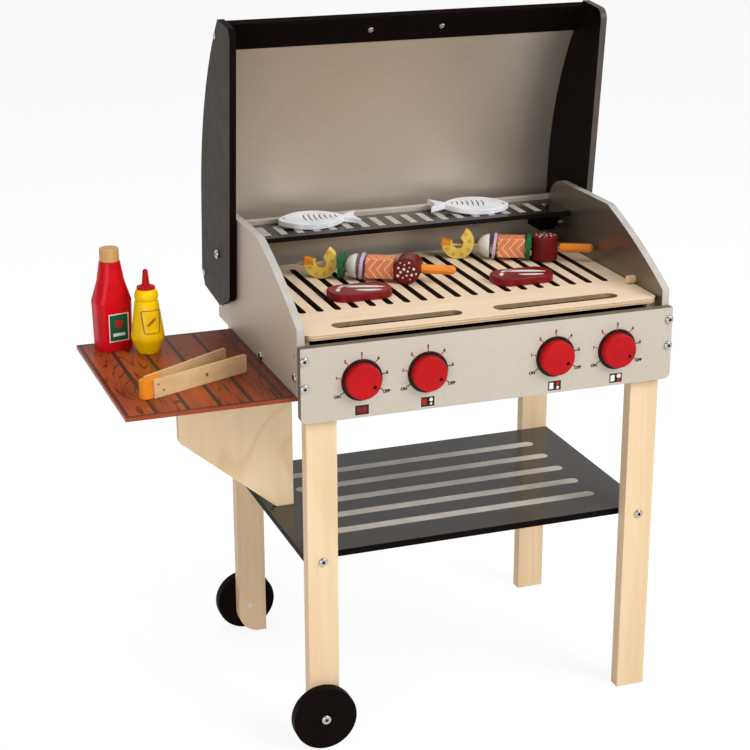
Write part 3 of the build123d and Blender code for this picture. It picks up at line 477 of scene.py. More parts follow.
@dataclass(frozen=True)
class PlyEdge(Finish):
    """The cut edge of plywood."""

    across: Across = Across.Z
    layer: float = 1.5 * MM
    pale: Triple = (0.76, 0.58, 0.37)
    deep: Triple = (0.50, 0.33, 0.18)

    def wire(self, graph: Graph, shader: bpy.types.Node, place: bpy.types.NodeSocket) -> None:
        """Layers counted through the board's thickness.

        Args:
            graph: The material's graph.
            shader: The Principled BSDF.
            place: Object coordinates.
        """
        layers = PlyLayers().use(graph, {
            "Vector": place, "Depth": graph.split(place)[self.across.value], "Layer": self.layer,
            "Pale": self.pale, "Deep": self.deep,
        })
        graph.feed(shader, {"Base Color": layers.outputs["Color"], "Roughness": 0.55,
                            "Specular IOR Level": 0.25})
        graph.bump(shader, layers.outputs["Height"], 0.3, 0.2 * MM)


@dataclass(frozen=True)
class SilverPrint(Finish):
    """Brushed silver foil printed on a board."""

    low: Triple
    high: Triple
    metal: float = 0.25
    roughness: float = 0.46

    def wire(self, graph: Graph, shader: bpy.types.Node, place: bpy.types.NodeSocket) -> None:
        """Hair lines over foil.

        Args:
            graph: The material's graph.
            shader: The Principled BSDF.
            place: Object coordinates.
        """
        foil = BrushedPrint().use(graph, {
            "Vector": graph.along(place, Grain.ALONG_X), "Low": self.low, "High": self.high,
        })
        uneven = graph.math("ADD", foil.outputs["Roughness"], self.roughness)
        graph.feed(shader, {"Base Color": foil.outputs["Color"], "Roughness": uneven, "Metallic": self.metal,
                            "Specular IOR Level": 0.2})
        graph.bump(shader, foil.outputs["Height"], 0.12, 0.1 * MM)


@dataclass(frozen=True)
class Paint(Finish):
    """Painted or stained wood."""

    colour: Triple
    roughness: float = 0.35
    gloss: float = 0.2

    def wire(self, graph: Graph, shader: bpy.types.Node, place: bpy.types.NodeSocket) -> None:
        """An even coat with slight mottling.

        Args:
            graph: The material's graph.
            shader: The Principled BSDF.
            place: Object coordinates.
        """
        paint = Mottle().use(graph, {"Vector": place, "Color": self.colour, "Roughness": self.roughness})
        graph.feed(shader, {"Base Color": paint.outputs["Color"], "Roughness": paint.outputs["Roughness"],
                            "Specular IOR Level": self.gloss})
        graph.bump(shader, paint.outputs["Height"], 0.08, 0.1 * MM)


@dataclass(frozen=True)
class PlatedSteel(Finish):
    """Bright zinc-plated screws and bolts."""

    colour: Triple = (0.52, 0.52, 0.53)
    roughness: float = 0.24

    def wire(self, graph: Graph, shader: bpy.types.Node, place: bpy.types.NodeSocket) -> None:
        """Metal with faint tarnish.

        Args:
            graph: The material's graph.
            shader: The Principled BSDF.
            place: Object coordinates.
        """
        plate = Mottle().use(graph, {"Vector": place, "Color": self.colour, "Roughness": self.roughness})
        graph.feed(shader, {"Base Color": plate.outputs["Color"], "Roughness": plate.outputs["Roughness"],
                            "Metallic": 1.0})


@dataclass(frozen=True)
class PlankPrint(Finish):
    """A print of reddish planks side by side, with dark joints, a dark border and wavy grain."""

    low: Vector
    high: Vector
    pitch: float = 39.6 * MM
    shift: float = 0.9 * MM
    joint: float = 5.2 * MM
    border: float = 2.2 * MM
    border_at: float = 4.2 * MM
    rings: float = 13.0
    deep: Triple = (0.255, 0.033, 0.008)
    bright: Triple = (0.400, 0.082, 0.014)
    line_ink: Triple = (0.030, 0.008, 0.005)
    joint_ink: Triple = (0.036, 0.026, 0.017)
    border_ink: Triple = (0.034, 0.018, 0.012)
    rim: Triple = (0.20, 0.030, 0.010)
    shaded: Triple = (0.050, 0.012, 0.008)

    def wire(self, graph: Graph, shader: bpy.types.Node, place: bpy.types.NodeSocket) -> None:
        """Planks along Y, counted from the outer edge, with painted shade that darkens them towards the
        grill.

        Args:
            graph: The material's graph.
            shader: The Principled BSDF.
            place: Object coordinates.
        """
        x, y, _ = graph.split(place)
        count = graph.math("DIVIDE", graph.math("SUBTRACT", x, self.low.x - self.shift), self.pitch)
        plank = graph.math("FLOOR", count)
        shifted = graph.add("ShaderNodeCombineXYZ", {
            "X": graph.math("ADD", y, graph.math("MULTIPLY", plank, 0.37)),
            "Y": x, "Z": graph.math("MULTIPLY", plank, 0.61),
        }).outputs[0]
        tone = graph.noise(shifted, (6.0, 26.0, 6.0), 3.0)
        base = graph.mix(graph.spread(tone, 0.35, 0.65), self.deep, self.bright)
        base = self.draw_grain(graph, shifted, base)
        base = graph.mix(self.joint_mask(graph, count), base, self.joint_ink)
        base = self.draw_border(graph, x, y, base)
        # Painted shade: the print darkens towards the grill's wall, mixed up to 60 per cent into the shaded
        # colour.
        shade = graph.spread(x, self.low.x + 100.0 * MM, self.high.x, 0.0, 0.60)
        base = graph.mix(shade, base, self.shaded)
        rough = graph.spread(tone, 0.3, 0.7, 0.30, 0.42)
        graph.feed(shader, {"Base Color": base, "Roughness": rough, "Specular IOR Level": 0.2})

    def draw_grain(self, graph: Graph, place: object, base: object) -> bpy.types.NodeSocket:
        """Add the dark contour lines of the grain.

        Args:
            graph: The material's graph.
            place: Coordinates that differ from plank to plank.
            base: The colour under the lines.

        Returns:
            The colour with the lines.
        """
        swirl = graph.noise(place, (4.6, 36.0, 4.6), 1.2, 0.5)
        ring = graph.math("FRACT", graph.math("MULTIPLY", swirl, self.rings))
        line = graph.spread(graph.distance(ring, 0.5), 0.39, 0.48)
        return graph.mix(graph.math("MULTIPLY", line, 0.9), base, self.line_ink)

    def joint_mask(self, graph: Graph, count: object) -> bpy.types.NodeSocket:
        """Where the dark joints between the planks lie.

        Args:
            graph: The material's graph.
            count: Planks counted from the outer edge, with their parts.

        Returns:
            One on a joint and zero beside it.
        """
        soft = 0.012
        edge = 0.5 - self.joint / 2 / self.pitch
        to_joint = graph.distance(graph.math("FRACT", count), 0.5)
        joint = graph.spread(to_joint, edge - soft, edge + soft)
        return graph.math("MULTIPLY", joint, graph.math("GREATER_THAN", count, 0.5))

    def draw_border(self, graph: Graph, x: object, y: object, base: object) -> bpy.types.NodeSocket:
        """Add the dark border line and the plain rim outside it.

        Args:
            graph: The material's graph.
            x: The X coordinate.
            y: The Y coordinate.
            base: The colour inside the border.

        Returns:
            The colour with the border.
        """
        near, *others = [
            graph.math("SUBTRACT", x, self.low.x), graph.math("SUBTRACT", self.high.x, x),
            graph.math("SUBTRACT", y, self.low.y), graph.math("SUBTRACT", self.high.y, y),
        ]
        for edge in others:
            near = graph.math("MINIMUM", near, edge)
        off = graph.distance(near, self.border_at)
        border = graph.spread(off, self.border / 2, self.border / 2 + 0.4 * MM, 1.0, 0.0)
        outside = graph.spread(near, self.border_at, self.border_at + 0.3 * MM, 1.0, 0.0)
        return graph.mix(border, graph.mix(outside, base, self.rim), self.border_ink)


@dataclass(frozen=True)
class FoodPrint(Finish):
    """Painted food with a pattern in its own turned frame."""

    base: Triple
    mark: Triple
    origin: Triple
    turn: float

    def pattern(self, graph: Graph, local: bpy.types.NodeSocket) -> bpy.types.NodeSocket:
        """How much of the mark's colour shows; each food has its own way.

        Args:
            graph: The material's graph.
            local: Coordinates in the food's own frame, with X along the stick.

        Returns:
            The share of the mark's colour, from 0 to 1.
        """
        raise NotImplementedError

    def wire(self, graph: Graph, shader: bpy.types.Node, place: bpy.types.NodeSocket) -> None:
        """Mix the two paints by the pattern.

        Args:
            graph: The material's graph.
            shader: The Principled BSDF.
            place: Object coordinates.
        """
        local = graph.add("ShaderNodeMapping", {
            "Vector": place, "Location": self.origin, "Rotation": (0.0, 0.0, self.turn),
        }, vector_type="TEXTURE").outputs[0]
        colour = graph.mix(self.pattern(graph, local), self.base, self.mark)
        paint = Mottle().use(graph, {"Vector": place, "Color": colour, "Roughness": 0.4})
        graph.feed(shader, {"Base Color": paint.outputs["Color"], "Roughness": paint.outputs["Roughness"],
                            "Specular IOR Level": 0.2})
        graph.bump(shader, paint.outputs["Height"], 0.08, 0.1 * MM)


@dataclass(frozen=True)
class Chevrons(FoodPrint):
    """White chevrons that point back along the stick, as fat lines in salmon."""

    pitch: float = 10.5 * MM
    line: float = 1.6 * MM
    slant: float = 0.85

    def pattern(self, graph: Graph, local: bpy.types.NodeSocket) -> bpy.types.NodeSocket:
        """Repeated V lines in the XZ and XY faces.

        Args:
            graph: The material's graph.
            local: Coordinates in the food's own frame, with X along the stick.

        Returns:
            The share of the mark's colour, from 0 to 1.
        """
        x, y, z = graph.split(local)
        tall = graph.math("MINIMUM", graph.math("ABSOLUTE", z), graph.math("ABSOLUTE", y))
        wobble = graph.math("MULTIPLY", graph.noise(local, (160.0, 160.0, 160.0), 2.0), self.line)
        run = graph.math("SUBTRACT", x, graph.math("MULTIPLY", tall, self.slant))
        run = graph.math("DIVIDE", graph.math("ADD", run, wobble), self.pitch)
        half = self.line / self.pitch / 2
        return graph.spread(graph.distance(graph.math("FRACT", run), 0.5), half * 0.6, half * 1.3, 0.85, 0.0)


@dataclass(frozen=True)
class ShrimpMarks(FoodPrint):
    """Orange blotches round the curl and an orange end."""

    middle: Triple
    blotches: float = 9.0
    blotch_reach: float = 16.5 * MM

    def pattern(self, graph: Graph, local: bpy.types.NodeSocket) -> bpy.types.NodeSocket:
        """Blotches by the angle round the curl's middle.

        Args:
            graph: The material's graph.
            local: Coordinates in the food's own frame, with X along the stick.

        Returns:
            The share of the mark's colour, from 0 to 1.
        """
        x, _, z = graph.split(local)
        dx = graph.math("SUBTRACT", x, self.middle[0])
        dz = graph.math("SUBTRACT", z, self.middle[2])
        square = graph.math("ADD", graph.math("MULTIPLY", dx, dx), graph.math("MULTIPLY", dz, dz))
        reach = graph.math("SQRT", square)
        wave = graph.math("SINE", graph.math("MULTIPLY", graph.math("ARCTAN2", dz, dx), self.blotches))
        band = graph.spread(graph.distance(reach, self.blotch_reach), 2.0 * MM, 3.5 * MM, 1.0, 0.0)
        blotch = graph.math("MULTIPLY", graph.spread(wave, 0.1, 0.7), band)
        tip = graph.math("MULTIPLY", graph.math("LESS_THAN", dx, -10.0 * MM),
                         graph.math("GREATER_THAN", dz, -4.0 * MM))
        return graph.math("MAXIMUM", graph.math("MULTIPLY", blotch, 0.75), tip)


BIRCH_UPRIGHT = BareWood("birch upright", grain=Grain.ALONG_Z)
BIRCH_PLATE = BareWood("birch plate", pale=(0.88, 0.71, 0.51), deep=(0.76, 0.57, 0.38), grain=Grain.ALONG_X)
# Painted light: the bracket's birch is paler than the rest, to make up for the shade that the table casts on
# it.
LIT_BIRCH_BRACKET = PeeledBirch("lit birch bracket", pale=(0.94, 0.75, 0.48), deep=(0.82, 0.58, 0.31), strength=0.5)
BIRCH_LEDGE = BareWood("birch ledge", grain=Grain.ALONG_Y)
BIRCH_PEG = BareWood("birch peg", grain=Grain.ALONG_X)
BRACKET_EDGE = PlyEdge("ply edge across y", across=Across.Y)
PLATE_EDGE = PlyEdge("plate edge", layer=2.0 * MM, pale=(0.70, 0.52, 0.33), deep=(0.46, 0.31, 0.18))
# Painted shade: the slot walls are darker birch, darkest in the narrow long slots.
SHADED_FINGER_WALL = BareWood("finger slot wall painted shade", pale=(0.38, 0.26, 0.15), deep=(0.20, 0.13, 0.07))
SHADED_SLOT_WALL = BareWood("slot wall painted shade", pale=(0.070, 0.042, 0.024), deep=(0.030, 0.018, 0.011))
FOIL = SilverPrint("silver foil", (0.46, 0.41, 0.345), (0.585, 0.53, 0.455))
FOIL_SIDE = SilverPrint("silver foil side", (0.50, 0.42, 0.345), (0.64, 0.55, 0.46), metal=0.4)
# Painted shade: a darker copy of the foil for the side panels' inner faces; its metal reflections are real.
SHADED_FOIL_INSIDE = SilverPrint("shaded silver foil inside", (0.20, 0.165, 0.135), (0.30, 0.25, 0.205), 0.85, 0.26)
FOIL_LID = SilverPrint("silver foil lid", (0.57, 0.50, 0.42), (0.69, 0.62, 0.535), 0.80, 0.36)
FOIL_BACK = SilverPrint("silver foil back", (0.60, 0.52, 0.44), (0.72, 0.64, 0.56), 0.5, 0.3)
GREY_EDGE = Paint("grey painted edge", (0.52, 0.49, 0.45))
DARK_EDGE = Paint("brown painted edge", (0.16, 0.13, 0.10), roughness=0.45)
BLACK = Paint("black stain", (0.0050, 0.0026, 0.0021), roughness=0.50, gloss=0.035)
# Painted sheen: a lighter copy of the black stain for the lid sides' outer faces; their inner faces keep the
# plain black.
BLACK_SIDE_SHEEN = Paint("black lid side painted sheen", (0.050, 0.038, 0.028), roughness=0.50, gloss=0.06)
# Painted highlight: a lighter grey on the rounded edge of the right lid side.
LID_EDGE_HIGHLIGHT = Paint("black edge painted highlight", (0.075, 0.062, 0.050), roughness=0.40)
BLACK_GLOSS = Paint("black lacquer", (0.006, 0.0040, 0.0032), roughness=0.22, gloss=0.12)
CHARCOAL = Paint("charcoal print", (0.050, 0.042, 0.035), roughness=0.24, gloss=0.5)
# Painted shade: a flat dark for the base board, the front panel's back face and the knobs' dot recesses.
SHADE = Paint("painted shade inside", (0.004, 0.003, 0.0025), roughness=0.8, gloss=0.0)
STEEL = PlatedSteel("plated steel")
# Painted shade: a dark steel for the recess of each bolt's socket.
SOCKET_SHADE = PlatedSteel("bolt socket painted shade", colour=(0.07, 0.07, 0.065))
KNOB_RED = Paint("knob red", (0.46, 0.006, 0.008), roughness=0.45, gloss=0.12)
TABLE_EDGE = Paint("table edge", (0.30, 0.055, 0.014))
GRIP_ORANGE = Paint("grip orange", (0.86, 0.25, 0.010), roughness=0.32, gloss=0.35)
STICK_WOOD = BareWood("stick wood", pale=(0.62, 0.42, 0.22), deep=(0.50, 0.31, 0.14))
SALAMI_RED = Paint("salami red", (0.15, 0.006, 0.007), roughness=0.38)
PEPPER_GREEN = Paint("pepper green", (0.004, 0.13, 0.035))
ONION_LILAC = Paint("onion lilac", (0.62, 0.42, 0.60), roughness=0.4)
MUSHROOM_WHITE = Paint("mushroom white", (0.74, 0.72, 0.66), roughness=0.45)
STEAK_RED = Paint("steak red", (0.20, 0.006, 0.009), roughness=0.34)
FISH_WHITE = Paint("fish white", (0.92, 0.93, 0.97), roughness=0.4)
SAUCE_RED = Paint("sauce red", (0.62, 0.003, 0.008), roughness=0.26, gloss=0.16)
SAUCE_YELLOW = Paint("sauce yellow", (0.95, 0.60, 0.001), roughness=0.26, gloss=0.16)
CAP_WOOD = BareWood("cap wood", pale=(0.66, 0.38, 0.16), deep=(0.50, 0.26, 0.09))
TONGS_ORANGE = Paint("tongs orange", (0.86, 0.27, 0.015), roughness=0.38)
TONGS_WOOD = BareWood("tongs wood", pale=(0.72, 0.50, 0.26), deep=(0.58, 0.36, 0.16), grain=Grain.ALONG_X)
NAIL_HEAD = Paint("nail heads", (0.16, 0.10, 0.06), roughness=0.4)


def ink_paint(ink: Ink) -> Paint:
    """The paint of a printing ink."""
    return Paint(f"ink {ink.name.lower()}", ink.value, roughness=0.45)


def deselect() -> None:
    """Leave edit mode and select nothing."""
    if bpy.context.mode != "OBJECT":
        bpy.ops.object.mode_set(mode="OBJECT")
    bpy.ops.object.select_all(action="DESELECT")


def activate(piece: bpy.types.Object) -> None:
    """Select one object alone and make it active.

    Args:
        piece: The object to select.
    """
    deselect()
    piece.select_set(True)
    bpy.context.view_layer.objects.active = piece


def settle(piece: bpy.types.Object) -> None:
    """Move an object's place, turn and scale into its mesh."""
    activate(piece)
    bpy.ops.object.transform_apply(location=True, rotation=True, scale=True)


@contextmanager
def editing() -> Iterator[None]:
    """Edit mode with the whole active mesh selected, and object mode again afterwards.

    Yields:
        Nothing, while the mesh is being edited.
    """
    bpy.ops.object.mode_set(mode="EDIT")
    bpy.ops.mesh.select_all(action="SELECT")
    yield
    bpy.ops.object.mode_set(mode="OBJECT")


def use_modifier(piece: bpy.types.Object, kind: str, **settings: object) -> None:
    """Add a modifier and apply it.

    Args:
        piece: The object to change.
        kind: Blender's name of the modifier.
        **settings: Attributes of the modifier.
    """
    activate(piece)
    modifier = piece.modifiers.new(kind.lower(), kind)
    for name, value in settings.items():
        setattr(modifier, name, value)
    bpy.ops.object.modifier_apply(modifier=modifier.name)


def stroke(length: float, width: float, bend: float, steps: tuple[int, int]) -> bpy.types.Object:
    """A flat slim stroke along X with pointed ends.

    Args:
        length: Its length.
        width: Its width in the middle.
        bend: How far its middle stands out sideways.
        steps: Its divisions along and across.

    Returns:
        The new active object.
    """
    bpy.ops.mesh.primitive_grid_add(x_subdivisions=steps[0], y_subdivisions=steps[1], size=1.0)
    part = bpy.context.active_object
    for vertex in part.data.vertices:
        share = 1.0 - (2.0 * vertex.co.x) ** 2
        across = vertex.co.y * width * max(share, 0.02) ** 0.5
        vertex.co = (vertex.co.x * length, across + bend * share, 0.0)
    return part


def faces_along(axis: int, sign: float) -> Test:
    """A test for faces that look along one axis."""
    return lambda _, normal: normal[axis] * sign > 0.9


def both_faces(axis: int, sign: float) -> list[Test]:
    """Tests for the faces that look along one axis, and for those that look back along it."""
    return [faces_along(axis, sign), faces_along(axis, -sign)]


def either_way(axis: int) -> Test:
    """A test for faces that look either way along one axis."""
    return lambda _, normal: abs(normal[axis]) > 0.9


def paint_faces(piece: bpy.types.Object, finishes: list[Finish], tests: list[Test] | None = None) -> None:
    """Give a piece its finishes; the first one covers all, each later one the faces that pass its test.

    Args:
        piece: The object to dress.
        finishes: One finish, and one more for each test.
        tests: Tests of a face's centre and normal.
    """
    piece.data.materials.clear()
    for finish in finishes:
        piece.data.materials.append(finish.material())
    for face in piece.data.polygons:
        face.material_index = 0
        for number, test in enumerate(tests or [], 1):
            if test(face.center, face.normal):
                face.material_index = number


def shells(mesh: bpy.types.Mesh) -> list[list[int]]:
    """The separate closed shells of a mesh.

    Args:
        mesh: A mesh whose triangles may be loose, so that they are joined by place.

    Returns:
        The face numbers of each shell.
    """
    def place(vertex: int) -> tuple[float, ...]:
        """A vertex's place, rounded."""
        return tuple(round(value, 6) for value in mesh.vertices[vertex].co)

    faces_at = defaultdict(list)
    for face in mesh.polygons:
        for vertex in face.vertices:
            faces_at[place(vertex)].append(face.index)
    left = set(range(len(mesh.polygons)))
    found = []
    while left:
        queue = [left.pop()]
        shell = []
        while queue:
            number = queue.pop()
            shell.append(number)
            near = {other for vertex in mesh.polygons[number].vertices for other in faces_at[place(vertex)]}
            fresh = near & left
            left -= fresh
            queue.extend(fresh)
        found.append(shell)
    return found


def darken_sockets(piece: bpy.types.Object, slot: int, share: float = 0.42) -> None:
    """Give the faces inside each bolt's socket another material slot, for their painted shade.

    Args:
        piece: A set of bolts, each along one axis and longer than its head is wide.
        slot: The material slot of the socket.
        share: The socket's radius as a share of the head's.
    """
    mesh = piece.data
    rim, floor = 0.2 * MM, 4.0 * MM
    for shell in shells(mesh):
        spots = [mesh.vertices[vertex].co for number in shell for vertex in mesh.polygons[number].vertices]
        low = [min(spot[i] for spot in spots) for i in range(3)]
        high = [max(spot[i] for spot in spots) for i in range(3)]
        size = [high[i] - low[i] for i in range(3)]
        axis = size.index(max(size))
        first, second = (i for i in range(3) if i != axis)
        head = max(size[first], size[second]) / 2
        middle = [(low[i] + high[i]) / 2 for i in range(3)]
        for end in (low[axis], high[axis]):
            for number in shell:
                spot = mesh.polygons[number].center
                reach = math.hypot(spot[first] - middle[first], spot[second] - middle[second])
                if reach < share * head and rim < abs(spot[axis] - end) < floor:
                    mesh.polygons[number].material_index = slot


def rotation(degrees: float, axis: str = "Z") -> Matrix:
    """A turn about an axis."""
    return Matrix.Rotation(math.radians(degrees), 4, axis)


def centre(node: str) -> Vector:
    """The middle of a node's box."""
    low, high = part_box(node)
    return (low + high) / 2


def top_middle(low: Vector, high: Vector) -> Vector:
    """The middle of a box's top, from its lowest and highest corners."""
    return Vector(((low.x + high.x) / 2, (low.y + high.y) / 2, high.z))


class Workshop:
    """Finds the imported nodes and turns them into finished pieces."""

    MERGE = 0.01 * MM
    FLAT = 0.5

    def __init__(self, frame: dict) -> None:
        """Keep the nodes, and which body each one belongs to.
        """
        self.nodes: dict[str, bpy.types.Object] = frame["nodes"]
        bodies = frame["record"]["behaviour"]["bodies"]
        self.body_of = {node: body for body, members in bodies.items() for node in members}

    def register(self, piece: bpy.types.Object, node: str) -> bpy.types.Object:
        """Let a piece ride with a node's body, and log how many faces it has.

        Args:
            piece: The finished piece.
            node: The node that it belongs to.

        Returns:
            The piece.
        """
        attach(piece, self.body_of[node])
        LOG.info("%s: %d faces", piece.name, len(piece.data.polygons))
        return piece

    def softened(self, node: str, width: float, segments: int = 2, corner: float = 32.0,
                 smooth: float = 40.0) -> bpy.types.Object:
        """A copy of a node with rounded edges, which stands for it.

        Args:
            node: The node to copy.
            width: The rounding's width in metres.
            segments: Steps of the rounding.
            corner: Edges sharper than this many degrees are rounded.
            smooth: Faces that meet at less than this many degrees are shaded as one.

        Returns:
            The new piece.
        """
        source = self.nodes[node]
        piece = bpy.data.objects.new(node + "_piece", source.data.copy())
        bpy.context.scene.collection.objects.link(piece)
        activate(piece)
        with editing():
            bpy.ops.mesh.remove_doubles(threshold=self.MERGE)
            bpy.ops.mesh.dissolve_limited(angle_limit=math.radians(self.FLAT))
        if piece.data.has_custom_normals:
            bpy.ops.mesh.customdata_custom_splitnormals_clear()
        use_modifier(piece, "BEVEL", width=width, segments=segments, limit_method="ANGLE",
                     angle_limit=math.radians(corner), use_clamp_overlap=True, miter_outer="MITER_ARC")
        activate(piece)
        bpy.ops.object.shade_smooth_by_angle(angle=math.radians(smooth))
        use_modifier(piece, "WEIGHTED_NORMAL", mode="FACE_AREA", weight=100, keep_sharp=True)
        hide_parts(node)
        return self.register(piece, node)

    def piece(self, node: str, width: float, finishes: list[Finish], tests: list[Test] | None = None,
              **rounding: float) -> bpy.types.Object:
        """A softened copy of a node with its finishes.

        Args:
            node: The node to copy.
            width: The rounding's width in metres.
            finishes: One finish, and one more for each test.
            tests: Tests of a face's centre and normal.
            **rounding: The other settings of softened().

        Returns:
            The new piece.
        """
        made = self.softened(node, width, **rounding)
        paint_faces(made, finishes, tests)
        return made


class Stencil:
    """Thin printed shapes, drawn on a flat sheet with Z outwards, then laid on a piece.

    Every shape is placed by its middle, x and y. A higher level lies on top of a lower one.
    """

    SINK = 0.05 * MM
    RISE = 0.12 * MM
    LEVEL_STEP = 0.4

    def __init__(self, name: str) -> None:
        """Start an empty stencil.

        Args:
            name: The name of the piece that it becomes.
        """
        self.name = name
        self.inks: list[Ink] = []
        self.parts: list[bpy.types.Object] = []

    def keep(self, x: float, y: float, ink: Ink, level: int, turn: float = 0.0) -> None:
        """Put the active flat shape in its place, thicken it, give it its ink and keep it.

        Args:
            x: Where it goes along X.
            y: Where it goes along Y.
            ink: Its ink.
            level: How many prints it lies on.
            turn: Its turn in degrees.
        """
        part = bpy.context.active_object
        part.location = (x, y, 0.0)
        part.rotation_euler = (0.0, 0.0, math.radians(turn))
        settle(part)
        thickness = self.SINK + self.RISE * (1 + self.LEVEL_STEP * level)
        with editing():
            bpy.ops.mesh.extrude_region_move(TRANSFORM_OT_translate={"value": (0.0, 0.0, thickness)})
            bpy.ops.mesh.select_all(action="SELECT")
            bpy.ops.mesh.normals_make_consistent(inside=False)
        if ink not in self.inks:
            self.inks.append(ink)
        part["ink"] = self.inks.index(ink)
        self.parts.append(part)

    def disc(self, x: float, y: float, radius: float, ink: Ink, level: int = 0, sides: int = 32) -> None:
        """A round spot.

        Args:
            x: Its middle along X.
            y: Its middle along Y.
            radius: Its radius.
            ink: Its ink.
            level: How many prints it lies on.
            sides: How many sides stand for its round edge.
        """
        deselect()
        bpy.ops.mesh.primitive_circle_add(vertices=sides, radius=radius, fill_type="NGON")
        self.keep(x, y, ink, level)

    def ring(self, outer: float, share: float, ink: Ink) -> None:
        """A flat ring round the sheet's origin.

        Args:
            outer: Its outer radius.
            share: Its inner radius as a share of the outer one.
            ink: Its ink.
        """
        deselect()
        bpy.ops.mesh.primitive_circle_add(vertices=64, radius=outer, fill_type="NOTHING")
        with editing():
            bpy.ops.mesh.extrude_edges_move()
            bpy.ops.transform.resize(value=(share, share, 1.0), center_override=(0.0, 0.0, 0.0))
        self.keep(0.0, 0.0, ink, 0)

    def bar(self, x: float, y: float, length: float, width: float, ink: Ink, turn: float = 0.0,
            round_ends: bool = False, level: int = 0) -> None:
        """A straight bar.

        Args:
            x: Its middle along X.
            y: Its middle along Y.
            length: Its length, along X before its turn.
            width: Its width.
            ink: Its ink.
            turn: Its turn in degrees.
            round_ends: Whether its ends are round.
            level: How many prints it lies on.
        """
        deselect()
        bpy.ops.mesh.primitive_plane_add(size=1.0)
        part = bpy.context.active_object
        part.scale = (length, width, 1.0)
        settle(part)
        if round_ends:
            with editing():
                bpy.ops.mesh.bevel(offset=width * 0.498, offset_type="OFFSET", segments=8, affect="VERTICES")
        self.keep(x, y, ink, level, turn)

    def lens(self, x: float, y: float, length: float, width: float, ink: Ink, turn: float = 0.0,
             bend: float = 0.0, level: int = 0) -> None:
        """A slim stroke with pointed ends.

        Args:
            x: Its middle along X.
            y: Its middle along Y.
            length: Its length, along X before its turn.
            width: Its width in the middle.
            ink: Its ink.
            turn: Its turn in degrees.
            bend: How far its middle stands out sideways.
            level: How many prints it lies on.
        """
        deselect()
        stroke(length, width, bend, (10, 2))
        self.keep(x, y, ink, level, turn)

    def words(self, text: str, x: float, y: float, height: float, ink: Ink) -> None:
        """Upright plain letters or digits.

        Args:
            text: What they say.
            x: Their middle along X.
            y: Their middle along Y.
            height: The height of a capital letter.
            ink: Their ink.
        """
        deselect()
        bpy.ops.object.text_add(location=(0.0, 0.0, 0.0))
        letters = bpy.context.active_object.data
        letters.body = text
        letters.size = height * 1.4
        letters.offset = height * 0.085
        letters.resolution_u = 3
        letters.align_x = "CENTER"
        letters.align_y = "CENTER"
        bpy.ops.object.convert(target="MESH")
        self.keep(x, y, ink, 0)

    def lay(self, workshop: Workshop, node: str, place: Matrix) -> bpy.types.Object:
        """Join the shapes, put them in place and let them ride with a node.

        Args:
            workshop: The workshop that registers the piece.
            node: The node that carries the print.
            place: The sheet's frame, with Z out of the surface.

        Returns:
            The finished piece.
        """
        for part in self.parts:
            for ink in self.inks:
                part.data.materials.append(ink_paint(ink).material())
            for face in part.data.polygons:
                face.material_index = part["ink"]
            del part["ink"]
        deselect()
        for part in self.parts:
            part.select_set(True)
        bpy.context.view_layer.objects.active = self.parts[0]
        if len(self.parts) > 1:
            bpy.ops.object.join()
        piece = bpy.context.active_object
        piece.name = self.name
        piece.data.name = self.name
        piece.matrix_world = place @ Matrix.Translation((0.0, 0.0, -self.SINK))
        settle(piece)
        return workshop.register(piece, node)


@dataclass
class Body:
    """The box of the grill: front, side and back panels, base, rack and what carries the plate."""

    workshop: Workshop
    edge: float = 0.6 * MM
    peg_edge: float = 0.3 * MM
    stripes: int = 18
    stripe_pitch: float = 23.5 * MM
    stripe_width: float = 10.0 * MM
    stripe_ends: tuple[float, float] = (15.0 * MM, 61.0 * MM)

    def build(self) -> None:
        """Make and dress every piece of the body."""
        self.panels()
        self.inside()
        self.rack()
        self.fasteners()

    def panels(self) -> None:
        """The foil-covered panels with painted edges."""
        # The front panel's back face, seen past the plate, takes the painted shade.
        self.workshop.piece("front_panel", self.edge, [DARK_EDGE, FOIL, SHADE], both_faces(1, -1.0))
        for side, outward in SIDES:
            self.workshop.piece(f"side_panel_{side}", self.edge, [GREY_EDGE, FOIL_SIDE, SHADED_FOIL_INSIDE],
                                both_faces(0, outward))
        self.workshop.piece("back_panel", self.edge, [GREY_EDGE, FOIL_SIDE, FOIL_BACK], both_faces(1, 1.0))

    def inside(self) -> None:
        """The base board, the plate's ledges and pegs and the rack's blocks."""
        # Painted shade: the base board takes the flat dark of the box's shaded inside.
        self.workshop.piece("base_board", self.edge, [SHADE])
        for side, _ in SIDES:
            self.workshop.piece(f"plate_ledge_{side}", self.edge, [BIRCH_LEDGE])
            self.workshop.piece(f"plate_peg_{side}", self.peg_edge, [BIRCH_PEG])
            self.workshop.piece(f"rack_block_{side}", self.edge, [BLACK])

    def rack(self) -> None:
        """The warming rack with its printed bars."""
        self.workshop.piece("warming_rack", self.edge, [BLACK_GLOSS])
        low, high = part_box("warming_rack")
        bars = Stencil("rack_bars")
        start, end = self.stripe_ends
        for number in range(self.stripes):
            x = (number - (self.stripes - 1) / 2) * self.stripe_pitch
            bars.bar(x, (start + end) / 2, end - start, self.stripe_width, Ink.SILVER, turn=90.0)
        front_middle = Vector(((low.x + high.x) / 2, low.y, high.z))
        bars.lay(self.workshop, "warming_rack", Matrix.Translation(front_middle))

    def fasteners(self) -> None:
        """Bolts and screws keep their own meshes."""
        for node in ("panel_bolts", "frame_bolts", "small_screws", "wheel_bolts"):
            bolts = self.workshop.nodes[node]
            paint_faces(bolts, [STEEL])
            bolts.data.materials.append(SOCKET_SHADE.material())
            darken_sockets(bolts, 1)
        for side, _ in SIDES:
            paint_faces(self.workshop.nodes[f"lid_pivot_{side}"], [STEEL])


